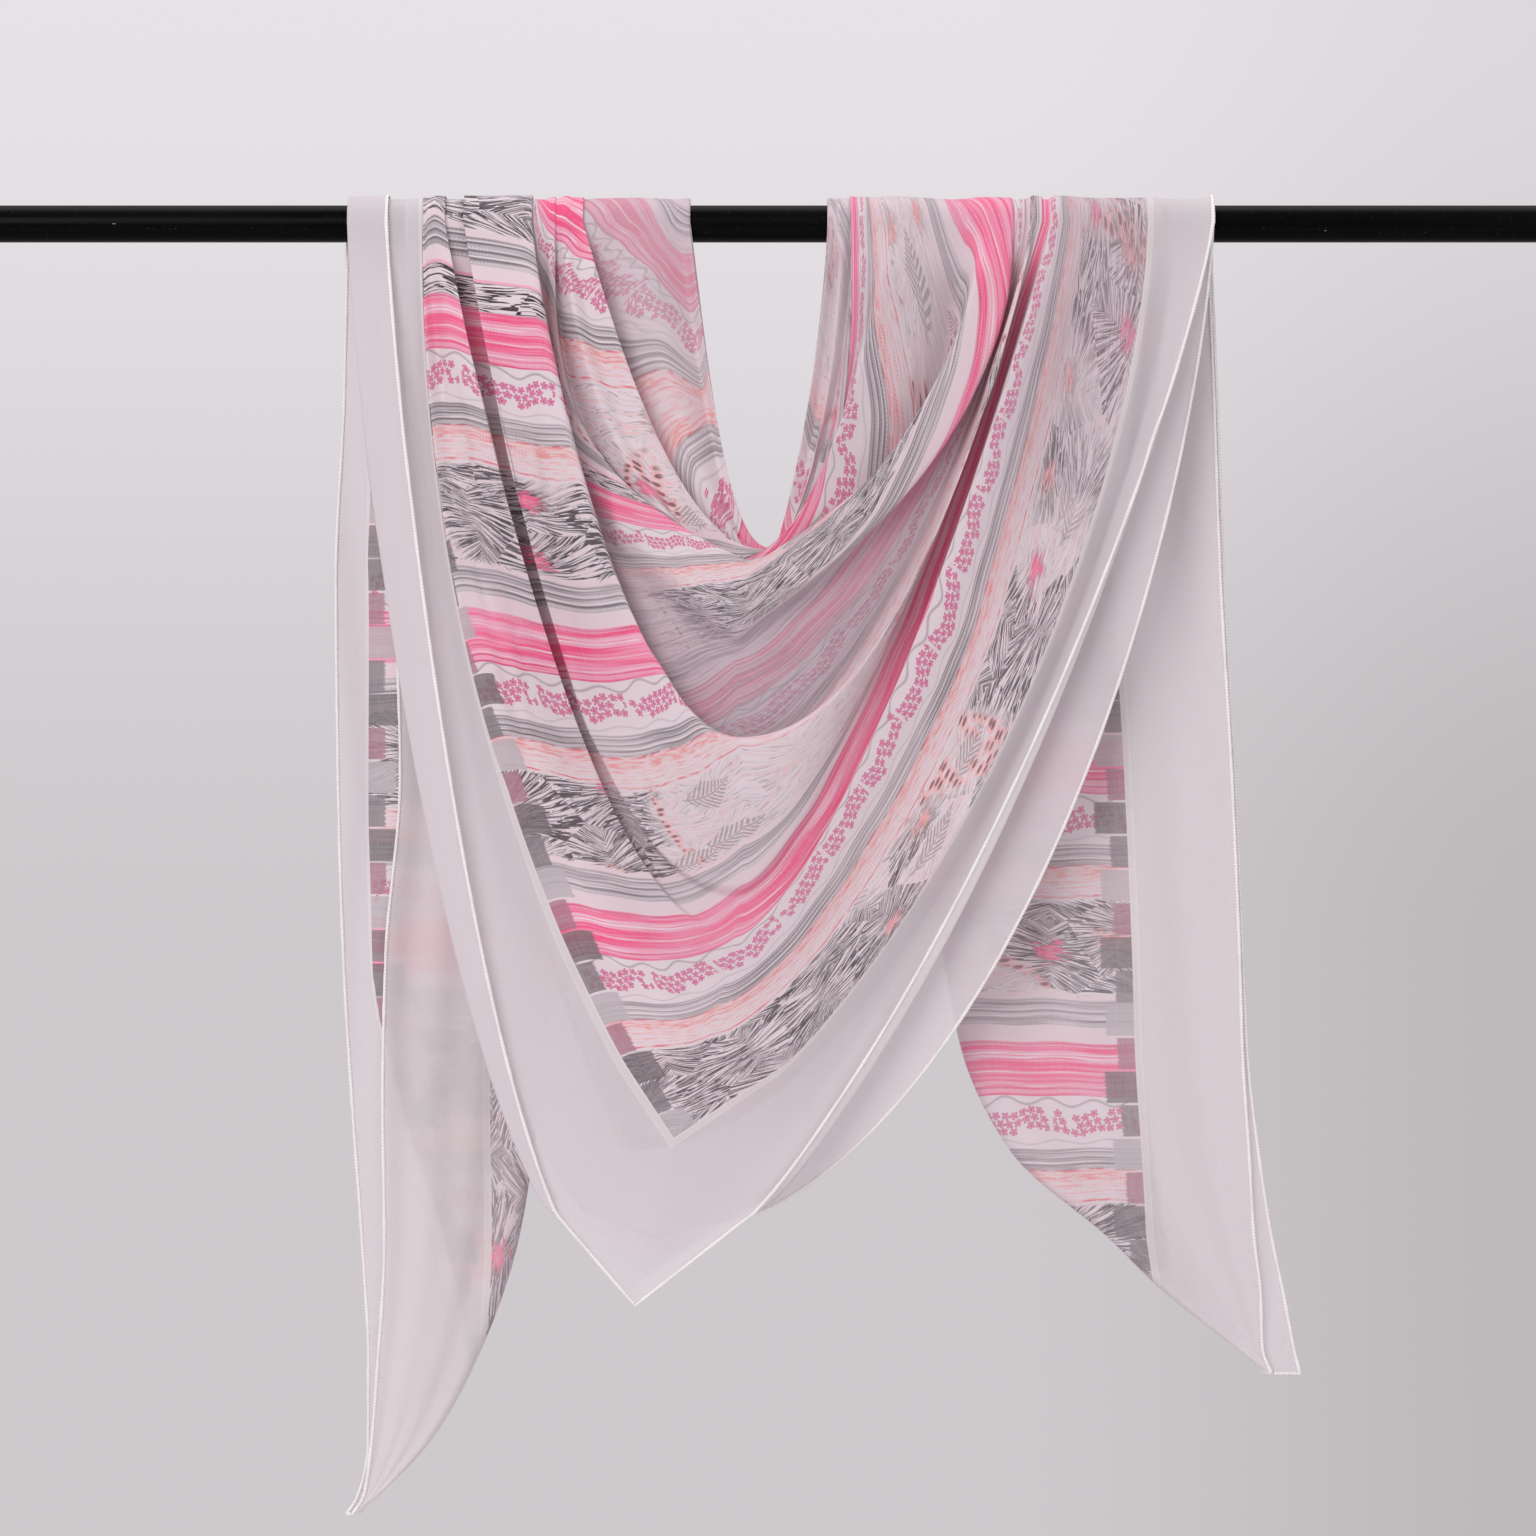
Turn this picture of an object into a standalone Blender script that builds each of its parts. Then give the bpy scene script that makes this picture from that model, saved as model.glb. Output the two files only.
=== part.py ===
"""Khimar: a square sheer scarf folded along its diagonal and hung over a round rod.

Metres, +Z up, front at -Y. The origin is on the rod's axis, halfway along it.
Tables are in millimetres. Every stretch of cloth is a grid of points on its middle
surface, made into a wall of one thickness.
"""

import bpy
import numpy as np

# Driving dimensions, millimetres
ROD_DIAMETER = 22.2
ROD_CHAMFER = 0.8
ROD_LENGTH = 1100.0
ROD_SIDES = 40
CLOTH = 1.0
INNER_RADIUS = 12.4
OUTER_RADIUS = 14.8
SADDLE_STEPS = 6
SEAM_GAP = 0.8
DEEPEST_FOLD = 0.25

# One row per fold of the front's outer layer, from the neckline down to the hem.
# left, right: X where the thread meets the rod. low_x, low_z: its lowest point.
# left_mid, right_mid: X at half the drop. left_bow, right_bow: how late each side turns in.
# out_left, out_low, out_right: how far it stands in front of the rod's axis. lift: over the rod.
FRONT_OUTER = (
    # name, left, left_mid, left_bow, low_x, low_z, right_mid, right, right_bow,
    #     out_left, out_low, out_right, lift
    ("neck_return", -46.5, -33, 0.9, 4, -206, 25, 35.5, 1.4, 8, 6, 8, 0),
    ("neckline", -48, -34.5, 0.9, 4, -195, 26, 37, 1.4, 14, 10, 13, 1),
    ("strip_dip", -54, -38, 0.9, 3, -204, 31, 40.5, 1.5, 11, 13.5, 10.5, 0),
    ("flower_face", -82, -58, 0.9, 1, -197, 36, 44, 1.8, 16, 17, 12, 2),
    ("first_dip", -106, -75, 0.9, -2, -206, 41, 47.5, 2.0, 12, 21, 10, 0),
    ("first_fold", -112, -81, 1.0, -3, -197, 45, 51, 2.2, 18, 25, 14, 2),
    ("leaf_face", -117, -93, 1.4, -10, -206, 47.5, 63, 1.4, 19, 29, 15, 1),
    ("leaf_fold", -121, -104, 1.8, -14, -201, 49.5, 75, 1.0, 21, 33, 20.5, 2),
    ("leaf_valley", -124.5, -113.5, 3.0, -17, -212, 100, 112, 3.5, 9, 37, 10, 0),
    ("roll_top", -127.5, -120, 3.7, -13, -204, 97, 130, 1.6, 11, 44, 28, 2),
    ("roll_under", -130.5, -120.5, 3.4, -16, -233, 116, 148, 2.2, 11, 46, 25, 1),
    ("middle_dip", -133.5, -122, 3.0, -18, -253, 105, 151.5, 1.8, 10, 35, 11, 0),
    ("middle_fold", -136.5, -124, 2.4, -19, -262, 108, 155, 1.6, 9, 38, 11, 0),
    ("apron_tuck", -139.5, -121, 1.7, -17, -319, 105.5, 160, 1.3, 9, 36, 10.5, 0),
    ("apron_back", -142, -122, 1.7, -17, -322, 107.5, 162.5, 1.3, 13.5, 40, 14, 0.7),
    ("apron_fold", -145, -110, 1.2, -16, -309, 112, 165, 1.1, 25, 46, 22, 2.5),
    ("apron_lip", -149, -111, 1.2, -16, -312, 113, 167.5, 1.1, 28, 50, 24.5, 4),
    ("apron_face", -165, -127, 1.1, -14, -355, 106.5, 170, 1.05, 22, 48, 25, 3.5),
    ("pleat_edge", -184, -139, 1.0, -16, -394, 99, 173, 1.05, 26, 48, 22, 3),
    ("side_valley", -191, -144, 1.0, -18, -415, 100, 176, 1.0, 10, 41, 10, 0),
    ("side_pleat", -198, -150, 1.2, -23, -442, 106, 181, 1.1, 23, 44, 23, 4),
    ("outer_dip", -202, -162, 1.6, -36, -490, 136, 202, 1.4, 16, 39, 18, 1),
    ("print_edge", -206, -174, 2.1, -56, -546, 158, 227, 1.6, 18, 36, 20, 2),
    ("margin", -221, -185, 1.5, -68, -599, 158, 247, 1.4, 14, 33, 15, 0),
    ("margin_edge", -251, -211, 1.3, -75.5, -630, 161, 261, 1.2, 17, 29, 17, 1.2),
    ("margin_turn", -251.5, -212, 1.3, -77.5, -638, 160, 264, 1.2, 21, 31, 20, 3.6),
    ("hem", -228, -191, 1.2, -79, -646, 153, 266, 1.2, 26, 33.5, 23, 6.5),
)

# The front's inner layer, the same columns.
FRONT_INNER = (
    ("neckline", -50, -36, 0.9, 4, -203, 28, 38, 1.4, 3, 2, 3, 0),
    ("upper_face", -90, -70, 1.0, -4, -222, 52, 66, 1.6, 5, 3, 5, 0),
    ("upper_dip", -130, -112, 1.3, -12, -290, 86, 120, 1.5, 2, 2, 2, 0),
    ("middle_face", -160, -128, 1.2, -16, -370, 106, 160, 1.3, 5, 6, 5, 0),
    ("side_dip", -185, -145, 1.1, -30, -440, 120, 188, 1.2, 2, 3, 2, 0),
    ("side_face", -198, -160, 1.4, -60, -500, 140, 215, 1.2, 5, 7, 5, 0),
    ("print_edge", -206, -172, 1.6, -84, -556, 164, 240, 1.3, 3, 4, 3, 0),
    ("margin", -212, -180, 1.8, -70, -584, 186, 256, 1.5, 4, 6, 5, 0),
    ("hem", -216, -187, 2.0, -53, -610, 204, 266, 1.5, 3, 6, 6, 0),
)

# Tails, one row per level from the rod down to the tip.
# z: height. hem: X of the near layer's hem. back_hem: X of the back layer's hem.
# fold: X of the edge where the cloth turns back. turn: how far it runs back behind.
# out: how far it hangs behind the rod's axis. wave: height of its soft pleats.
# gap: from the near layer to the back layer.
LEFT_TAIL = (
    # z, hem, back_hem, fold, turn, out, wave, gap
    (0, -250, -253, -50, 13, 12.4, 0, 2.4),
    (-40, -246, -254, -56, 26, 14, 3, 2.8),
    (-110, -237, -256, -70, 44, 17, 6, 3.4),
    (-213, -226, -261, -92, 56, 20, 8, 3.8),
    (-330, -222, -260, -112, 60, 23, 8, 3.8),
    (-440, -231, -257, -128, 58, 26, 7, 3.6),
    (-528, -233, -252, -138, 52, 28, 6, 3.4),
    (-612, -232, -246, -151, 42, 29, 5, 3.2),
    (-684, -236, -242, -176, 28, 30, 3.5, 3),
    (-735, -240, -242, -205, 15, 30, 2, 2.6),
    (-766, -246, -247, -231, 5, 30, 0.6, 2.4),
    (-778, -257, -258, -243, 4, 30, 0.2, 2.2),
)
RIGHT_TAIL = (
    (0, 264, 266, 38, 13, 12.4, 0, 2.4),
    (-40, 266, 268, 46, 26, 14, 3, 2.8),
    (-110, 269, 271, 60, 44, 17, 6, 3.4),
    (-213, 273, 275, 76, 56, 20, 8, 3.8),
    (-330, 280, 282, 90, 60, 23, 8, 3.8),
    (-440, 285, 287, 106, 58, 26, 7, 3.6),
    (-500, 287, 290, 118, 54, 28, 6, 3.4),
    (-560, 291, 297, 148, 46, 29, 5, 3.2),
    (-610, 294, 305, 205, 34, 30, 3.5, 3),
    (-644, 298, 312, 240, 22, 30, 2, 2.6),
    (-676, 303, 319, 280, 8, 30, 0.8, 2.4),
    (-693, 318, 324, 303, 4, 30, 0.2, 2.2),
)
TAIL_CURL = 2.9
TAIL_FULL_TURN = 12.0
TAIL_CURL_STEPS = 4
TAIL_TURN_STEPS = 4
# Soft pleats of a tail: share of the height, how many across, start.
TAIL_WAVES = ((0.62, 3.4, 0.0), (0.38, 2.1, 1.1))

# Look of each material: base colour, roughness, metallic
BLACK_PAINT = ((0.02, 0.02, 0.021, 1.0), 0.3, 0.0)
PRINTED_CLOTH = ((0.72, 0.55, 0.6, 1.0), 0.85, 0.0)
MARGIN_CLOTH = ((0.66, 0.6, 0.63, 1.0), 0.85, 0.0)


def clear_scene():
    for item in list(bpy.data.objects):
        bpy.data.objects.remove(item, do_unlink=True)


def make_material(name, look):
    colour, roughness, metallic = look
    material = bpy.data.materials.new(name)
    material.use_nodes = True
    shader = material.node_tree.nodes["Principled BSDF"]
    shader.inputs["Base Color"].default_value = colour
    shader.inputs["Roughness"].default_value = roughness
    shader.inputs["Metallic"].default_value = metallic
    return material


def add_object(name, points, faces, material):
    mesh = bpy.data.meshes.new(name)
    mesh.from_pydata([tuple(p) for p in np.asarray(points) * 0.001], [], faces)
    mesh.materials.append(material)
    mesh.update()
    item = bpy.data.objects.new(name, mesh)
    bpy.context.scene.collection.objects.link(item)
    return item


def smooth_rows(values, at):
    """Cubic through evenly spaced rows that never overshoots them."""
    values = np.asarray(values, float)
    step = np.diff(values, axis=0)
    slope = np.zeros_like(values)
    before, after = step[:-1], step[1:]
    total = before + after
    same = before * after > 0
    slope[1:-1] = np.where(same, 2 * before * after / np.where(total == 0, 1, total), 0)
    slope[0], slope[-1] = step[0], step[-1]
    i = np.clip(np.floor(at).astype(int), 0, len(values) - 2)
    f = (at - i)[:, None]
    rise = f * f * (3 - 2 * f)
    return (
        values[i] * (1 - rise)
        + values[i + 1] * rise
        + slope[i] * f * (1 - f) ** 2
        - slope[i + 1] * f * f * (1 - f)
    )


def ease(values, knots, at):
    """Level at each knot and smooth between."""
    i = np.clip(np.searchsorted(knots, at, side="right") - 1, 0, len(knots) - 2)
    f = (at - knots[i]) / (knots[i + 1] - knots[i])
    f = f * f * (3 - 2 * f)
    return values[i] * (1 - f) + values[i + 1] * f


def branch(x_rod, x_mid, x_low, bow, drop):
    """X of one side of a thread where it has come down by this share of its drop."""
    share = np.clip((x_mid - x_low) / (x_rod - x_low), 0.05, 0.98)
    power = np.log(share) / np.log(1 - 0.5**bow)
    return x_low + (x_rod - x_low) * np.clip(1 - drop**bow, 0, 1) ** power


def saddle(x, radius, side):
    """Points over the rod, from its back to its front."""
    angle = np.linspace(0, np.pi, SADDLE_STEPS + 1)
    if side < 0:
        angle = angle[::-1]
    return np.stack([np.full_like(angle, x), np.cos(angle) * radius, np.sin(angle) * radius], 1)


def thread(row, radius, steps):
    """One thread of the front: over the rod, down, along its low point, up and over again."""
    left, left_mid, left_bow, low_x, low_z, right_mid, right, right_bow = row[:8]
    out_left, out_low, out_right, lift = row[8:]
    rod = radius + lift
    turn = np.linspace(0, 1, 300)
    drop = 1 - (1 - turn) ** 2.4
    x_left = branch(left, left_mid, low_x, left_bow, drop)
    x_right = branch(right, right_mid, low_x, right_bow, drop)
    x = np.concatenate([x_left, x_right[-2::-1]])
    z = low_z * np.concatenate([drop, drop[-2::-1]])
    run = np.concatenate([[0], np.cumsum(np.hypot(np.diff(x), np.diff(z)))])
    run, low = run / run[-1], run[len(turn) - 1] / run[-1]
    knots = np.array([0, low * 0.42, low, low + (1 - low) * 0.58, 1.0])
    out = ease(np.array([rod, out_left, out_low, out_right, rod]), knots, run)
    share = np.linspace(-1, 1, steps + 1)
    share = 0.72 * share + 0.28 * share**3
    at = np.where(share < 0, low * (1 + share), low + (1 - low) * share)
    hang = np.stack([np.interp(at, run, x), -np.interp(at, run, out), np.interp(at, run, z)], 1)
    first = saddle(left, rod, 1)
    last = saddle(right, rod, -1)
    return np.concatenate([first[:-1], hang, last[1:]])


def front_surface(table, radius, per_row, steps):
    rows = [row[1:] for row in table]
    at = np.linspace(0, len(rows) - 1, (len(rows) - 1) * per_row + 1)
    return np.array([thread(row, radius, steps) for row in smooth_rows(rows, at)])


def tail_wave(x, hem, fold):
    """Height of the soft pleats at this X, from 0 to 1."""
    across = (x - hem) / (fold - hem)
    return sum(share * 0.5 * (1 - np.cos(2 * np.pi * (count * across + start)))
               for share, count, start in TAIL_WAVES)


def near_section(row, across):
    """One level of a tail's near layer: across its face, round its fold and back behind."""
    z, hem, back_hem, fold, turn, out, wave, gap = row
    side = np.sign(fold - hem)
    curl = TAIL_CURL + 0.06 * turn
    face = max(abs(fold - hem) - curl, 1.0)
    bend = np.pi * min(turn / TAIL_FULL_TURN, 1)
    arc = bend * curl
    s = np.concatenate([
        np.linspace(0, face, across + 1),
        np.linspace(face, face + arc, TAIL_CURL_STEPS + 1)[1:],
        np.linspace(face + arc, face + arc + turn, TAIL_TURN_STEPS + 1)[1:],
    ])
    angle = np.clip((s - face) / curl, 0, bend)
    past = np.maximum(s - face - arc, 0)
    x = np.minimum(s, face) + curl * np.sin(angle) + past * np.cos(bend)
    y = curl * (1 - np.cos(angle)) + past * np.sin(bend)
    x = hem + side * x
    return np.stack([x, out + y + wave * tail_wave(x, hem, fold), np.full_like(s, z)], 1)


def back_section(row, across):
    """One level of a tail's back layer, which lies inside the near layer's turn."""
    z, hem, back_hem, fold, turn, out, wave, gap = row
    side = np.sign(fold - hem)
    x = np.linspace(back_hem, fold - side * (gap + 1.2), across + 1)
    y = out + gap + wave * tail_wave(x, hem, fold)
    return np.stack([x, y, np.full_like(x, z)], 1)


def tail_surface(table, section, across, levels, last):
    rows = smooth_rows(table, np.linspace(0, len(table) - last, levels + 1))
    return np.array([section(row, across) for row in rows])


def bisector(grid, axis):
    """Each line's direction at its points, halfway between its two pieces, and how it turns."""
    grid = np.moveaxis(grid, axis, 0)
    step = np.diff(grid, axis=0)
    step /= np.linalg.norm(step, axis=2, keepdims=True)
    way = np.concatenate([step[:1], step[:-1] + step[1:], step[-1:]])
    turn = np.concatenate([0 * step[:1], step[1:] - step[:-1], 0 * step[:1]])
    way /= np.linalg.norm(way, axis=2, keepdims=True)
    return np.moveaxis(way, 0, axis), np.moveaxis(turn, 0, axis)


def wall_sides(grid):
    """Both faces of the cloth. Inside a sharp fold a face sits deeper, so that it stays clear."""
    down, down_turn = bisector(grid, 0)
    along, along_turn = bisector(grid, 1)
    normal = np.cross(down, along)
    normal /= np.linalg.norm(normal, axis=2, keepdims=True)
    sides = []
    for side in (1, -1):
        reach = np.full(grid.shape[:2] + (1,), CLOTH / 2)
        for turn in (down_turn, along_turn):
            inward = side * np.sum(turn * normal, axis=2, keepdims=True)
            half = np.sqrt(np.clip(1 - (np.clip(inward, 0, 2) / 2) ** 2, DEEPEST_FOLD**2, 1))
            reach = reach / half
        sides.append(grid + side * normal * reach)
    return sides


def wall(name, grid, material):
    """A closed wall on both sides of a grid of points."""
    rows, columns = grid.shape[:2]
    points = np.concatenate([side.reshape(-1, 3) for side in wall_sides(grid)])
    index = np.arange(rows * columns).reshape(rows, columns)
    back = index + rows * columns
    faces = []
    for i in range(rows - 1):
        for j in range(columns - 1):
            faces.append((index[i, j], index[i + 1, j], index[i + 1, j + 1], index[i, j + 1]))
            faces.append((back[i, j], back[i, j + 1], back[i + 1, j + 1], back[i + 1, j]))
    rim = list(index[0]) + list(index[1:, -1]) + list(index[-1, -2::-1]) + list(index[-2:0:-1, 0])
    ends = rim[1:] + rim[:1]
    for a, b in zip(rim, ends):
        faces.append((a, b, b + rows * columns, a + rows * columns))
    faces = [tuple(int(k) for k in face) for face in faces]
    volume = sum(
        np.dot(points[f[0]], np.cross(points[f[k]], points[f[k + 1]]))
        for f in faces
        for k in range(1, len(f) - 1)
    )
    if volume < 0:
        faces = [face[::-1] for face in faces]
    return add_object(name, points, faces, material)


def make_rod(material):
    """A solid round rod with a small chamfer at each end."""
    half = ROD_LENGTH / 2
    radius = ROD_DIAMETER / 2
    angle = np.linspace(0, 2 * np.pi, ROD_SIDES, endpoint=False)
    profile = (
        (-half, radius - ROD_CHAMFER),
        (-half + ROD_CHAMFER, radius),
        (half - ROD_CHAMFER, radius),
        (half, radius - ROD_CHAMFER),
    )
    rings = [np.stack([np.full_like(angle, x), r * np.cos(angle), r * np.sin(angle)], 1) for x, r in profile]
    last = (len(profile) - 1) * ROD_SIDES
    faces = [tuple(reversed(range(ROD_SIDES))), tuple(range(last, last + ROD_SIDES))]
    for ring in range(len(profile) - 1):
        for k in range(ROD_SIDES):
            a = ring * ROD_SIDES + k
            b = ring * ROD_SIDES + (k + 1) % ROD_SIDES
            faces.append((a, b, b + ROD_SIDES, a + ROD_SIDES))
    return add_object("rod", np.concatenate(rings), faces, material)


def make_front():
    outer = front_surface(FRONT_OUTER, OUTER_RADIUS, 2, 24)
    inner = front_surface(FRONT_INNER, INNER_RADIUS, 2, 24)
    wall("front_outer", outer, make_material("printed_cloth", PRINTED_CLOTH))
    wall("front_inner", inner, make_material("inner_cloth", PRINTED_CLOTH))


def make_tails():
    drop = np.array([0, 0, -SEAM_GAP])
    for side, table in (("left", LEFT_TAIL), ("right", RIGHT_TAIL)):
        near = tail_surface(table, near_section, 12, 17, 1) + drop
        back = tail_surface(table, back_section, 14, 17, 2) + drop
        wall(f"{side}_tail_inner", near, make_material(f"{side}_inner_cloth", MARGIN_CLOTH))
        wall(f"{side}_tail_outer", back, make_material(f"{side}_outer_cloth", MARGIN_CLOTH))


clear_scene()
make_rod(make_material("black_paint", BLACK_PAINT))
make_front()
make_tails()
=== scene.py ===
"""Khimar scarf on a rod: the cloth with its print and rolled hem, the painted rod, the studio.

Lengths in the tables are millimetres. Flat cloth places are (u, v): u is the distance from
side AC of the square, v the distance from side AB. A is the front corner, B the left tail's
tip, C the right tail's tip and D the inner layer's corner.
"""

import math

import bpy
import numpy as np
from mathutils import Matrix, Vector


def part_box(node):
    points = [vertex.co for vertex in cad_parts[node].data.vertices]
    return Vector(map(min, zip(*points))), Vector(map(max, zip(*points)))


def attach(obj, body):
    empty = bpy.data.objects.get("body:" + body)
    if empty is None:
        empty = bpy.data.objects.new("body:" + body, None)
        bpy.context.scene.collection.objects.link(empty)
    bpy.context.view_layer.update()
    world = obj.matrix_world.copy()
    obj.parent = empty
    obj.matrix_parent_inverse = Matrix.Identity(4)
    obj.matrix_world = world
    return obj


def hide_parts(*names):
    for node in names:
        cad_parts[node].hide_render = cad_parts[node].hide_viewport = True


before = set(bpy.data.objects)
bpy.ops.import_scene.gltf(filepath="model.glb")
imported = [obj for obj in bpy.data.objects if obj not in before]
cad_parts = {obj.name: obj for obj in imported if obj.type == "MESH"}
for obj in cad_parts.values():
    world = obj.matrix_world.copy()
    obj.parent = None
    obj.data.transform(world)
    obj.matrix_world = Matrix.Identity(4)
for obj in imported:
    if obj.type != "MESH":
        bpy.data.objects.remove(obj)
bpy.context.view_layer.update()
rod_low, rod_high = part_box("rod")

bl_info = {
    "name": "Khimar scarf on a rod",
    "version": (1, 0, 0),
    "blender": (4, 5, 0),
    "location": "View3D > Sidebar > Khimar",
    "description": "Builds a printed sheer scarf hung over a painted rod",
    "category": "Object",
}

MM = 0.001
TO_MM = 1000.0
# Side of the whole square, and how far from the rod's axis each front layer lies on it.
SIDE = 1500.0
OUTER_RADIUS = 14.8
INNER_RADIUS = 12.4
# The front layers laid flat: how far each reaches along the two sides of the square.
FLAT_OUTER = (830.0, 690.0)
FLAT_INNER = (735.0, 735.0)
# Steps of a front thread: along its hanging part, and over the rod at each end.
HANG_STEPS = 170
OVER_STEPS = 12
LOWEST = OVER_STEPS + HANG_STEPS // 2
# Threads from one row of a front table to the next.
OUTER_THREADS = 9
INNER_THREADS = 14
# A thread is first worked out at this many places, which lie closer near the rod.
DROP_PLACES = 300
DROP_POWER = 2.4
# Share of each side of a thread over which it comes out from the rod.
SHOULDER = 0.16

# One row per fold of the front's outer layer, from the neckline down to the hem.
# left, right: X at the rod. low_x, low_z: its lowest point. left_mid, right_mid: X at half
# the drop. bows: how late each side turns in. outs: how far in front of the rod's axis.
FRONT_OUTER = (
    # name, left, left_mid, left_bow, low_x, low_z, right_mid, right, right_bow,
    #     out_left, out_low, out_right, lift, corner
    ("neck_return", -46.5, -33, 0.9, 4, -206, 25, 35.5, 1.4, 8, 6, 8, 0, 0),
    ("neckline", -48, -34.5, 0.9, 4, -195, 26, 37, 1.4, 17, 12, 16, 0.8, 0),
    ("strip_dip", -55, -39, 0.9, 3, -204, 31, 40.5, 1.5, 10, 13.5, 10, 0, 0),
    ("flower_face", -82, -58, 0.9, 1, -197, 36, 44, 1.8, 20, 18, 14, 1, 0),
    ("first_dip", -114, -84, 0.9, -2, -208, 40, 50, 2.0, 9.5, 20, 9.5, 0, 0),
    ("first_fold", -110.5, -79, 1.0, -3, -196, 46, 49, 2.2, 26, 27, 20, 1.8, 0),
    ("leaf_face", -116, -92, 1.4, -10, -206, 47.5, 63, 1.4, 25, 30, 18, 1.2, 0),
    ("leaf_fold", -121, -103, 1.8, -14, -200, 50, 76, 1.0, 29, 35, 27, 2, 0),
    ("leaf_valley", -126.5, -115, 3.0, -17, -214, 100, 111, 3.5, 9, 36, 9.5, 0, 0),
    ("roll_top", -127.5, -119, 3.7, -13, -203, 97, 129, 1.6, 16, 47, 32, 1.4, 0),
    ("roll_under", -130.5, -120.5, 3.4, -16, -235, 115, 145, 2.2, 14, 47, 26, 1, 0),
    ("middle_dip", -133.5, -122, 3.0, -18, -255, 105, 147.5, 1.8, 10, 34, 10, 0, 0),
    ("middle_fold", -137, -123, 2.4, -19, -263, 107, 150, 1.6, 9, 38, 10, 0, 0),
    ("apron_tuck", -144, -124, 1.7, -17, -320, 104, 153.5, 1.3, 9, 34, 10, 0, 0),
    ("apron_back", -147, -125.5, 1.7, -17, -324, 105, 155.5, 1.3, 17, 40, 15, 0.8, 0),
    ("apron_fold", -141, -109, 1.2, -16, -308, 112.5, 157.5, 1.1, 33, 48, 30, 2, 0),
    ("apron_lip", -146, -110.5, 1.2, -16, -312, 113, 159.5, 1.1, 36, 52, 32, 2.4, 0),
    ("apron_face", -165, -127, 1.1, -14, -355, 104, 161, 1.05, 31, 49, 16, 2.2, 0),
    ("pleat_edge", -182, -140, 1.0, -16, -394, 96, 163, 1.05, 34, 49, 10, 2.4, 0),
    ("valley_right", -178, -135.5, 1.0, -17, -404, 97, 165.5, 1.0, 12, 43, 9.5, 0, 0),
    ("valley_left", -197, -147, 1.0, -18.5, -418, 103, 168, 1.0, 12, 42, 10, 0, 0),
    ("pleat_lip", -193, -142, 1.05, -20, -429, 101, 170, 1.05, 33, 45, 31, 2, 0),
    ("side_pleat", -199, -152, 1.2, -24, -445, 108, 177, 1.1, 30, 45, 30, 2.2, 0),
    ("outer_dip", -203, -163, 1.6, -36, -490, 136, 200, 1.4, 19, 40, 19, 0.8, 0),
    ("print_edge", -206, -174, 2.1, -56, -546, 158, 227, 1.6, 24, 37, 24, 1, 0.08),
    ("margin", -221, -185, 1.5, -68, -599, 158, 247, 1.4, 15, 33, 15, 0, 0.08),
    ("margin_edge", -251, -211, 1.3, -75.5, -630, 161, 261, 1.2, 17, 29, 17, 0.5, 0.085),
    ("margin_turn", -251.5, -212, 1.3, -77.5, -638, 160, 264, 1.2, 21, 31, 20, 1.4, 0.085),
    ("hem", -228, -191, 1.2, -79, -646, 153, 266, 1.2, 26, 33.5, 23, 2.2, 0.085),
)

OUTER_ROWS = [row[0] for row in FRONT_OUTER]

# Flat cloth place of each row of the outer layer: u at the left of the rod, halfway down,
# at its lowest point, halfway up and at the right of the rod, and v at three of those.
# count_v() keeps v only on the left half from print_edge down, and counts the rest from there.
PRINT_OUTER = (
    # name, u_left, u_left_mid, u_low, u_right_mid, u_right, v_left, v_low, v_right
    ("neck_return", 816, 708, 790, 714, 640, 660, 760, 930),
    ("neckline", 816, 704, 786, 715, 643, 600, 712, 897),
    ("strip_dip", 813, 712, 782, 711, 638, 585, 700, 890),
    ("flower_face", 778, 706, 777, 706, 629, 540, 690, 880),
    ("first_dip", 760, 708, 700, 661, 618, 500, 670, 872),
    ("first_fold", 785, 692, 636, 621, 600, 470, 640, 862),
    ("leaf_face", 781, 684, 612, 565, 512, 450, 610, 850),
    ("leaf_fold", 777, 680, 600, 547, 483, 430, 590, 840),
    ("leaf_valley", 774, 672, 566, 487, 406, 425, 560, 828),
    ("roll_top", 773, 660, 526, 447, 390, 420, 530, 822),
    ("roll_under", 771, 617, 456, 408, 377, 410, 470, 818),
    ("middle_dip", 766, 599, 420, 395, 374, 400, 450, 816),
    ("middle_fold", 758, 584, 405, 385, 366, 390, 430, 814),
    ("apron_tuck", 695, 516, 336, 335, 341, 300, 370, 810),
    ("apron_back", 674, 501, 328, 322, 317, 260, 362, 808),
    ("apron_fold", 656, 487, 319, 311, 302, 218, 350, 806),
    ("apron_lip", 651, 481, 312, 300, 288, 210, 340, 804),
    ("apron_face", 647, 454, 266, 262, 251, 186, 300, 800),
    ("pleat_edge", 645, 428, 222, 228, 225, 156, 245, 796),
    ("valley_right", 642, 424, 212, 217, 212, 145, 230, 794),
    ("valley_left", 638, 417, 197, 201, 193, 118, 205, 791),
    ("pleat_lip", 636, 415, 184, 189, 178, 106, 190, 790),
    ("side_pleat", 632, 402, 166, 178, 154, 100, 165, 788),
    ("outer_dip", 634, 378, 119, 124, 96, 82, 114, 786),
    ("print_edge", 638, 353, 64.8, 64.8, 64.8, 64.8, 64.8, 784),
    ("margin", 640, 338, 31, 34, 36, 49, 31, 783),
    ("margin_edge", 642, 328, 10, 10, 9, 23, 10, 782),
    ("margin_turn", 643, 326, 5, 5, 5, 22, 5, 782),
    ("hem", 644, 324, 0, 0, 0, 0, 0, 782),
)

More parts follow.
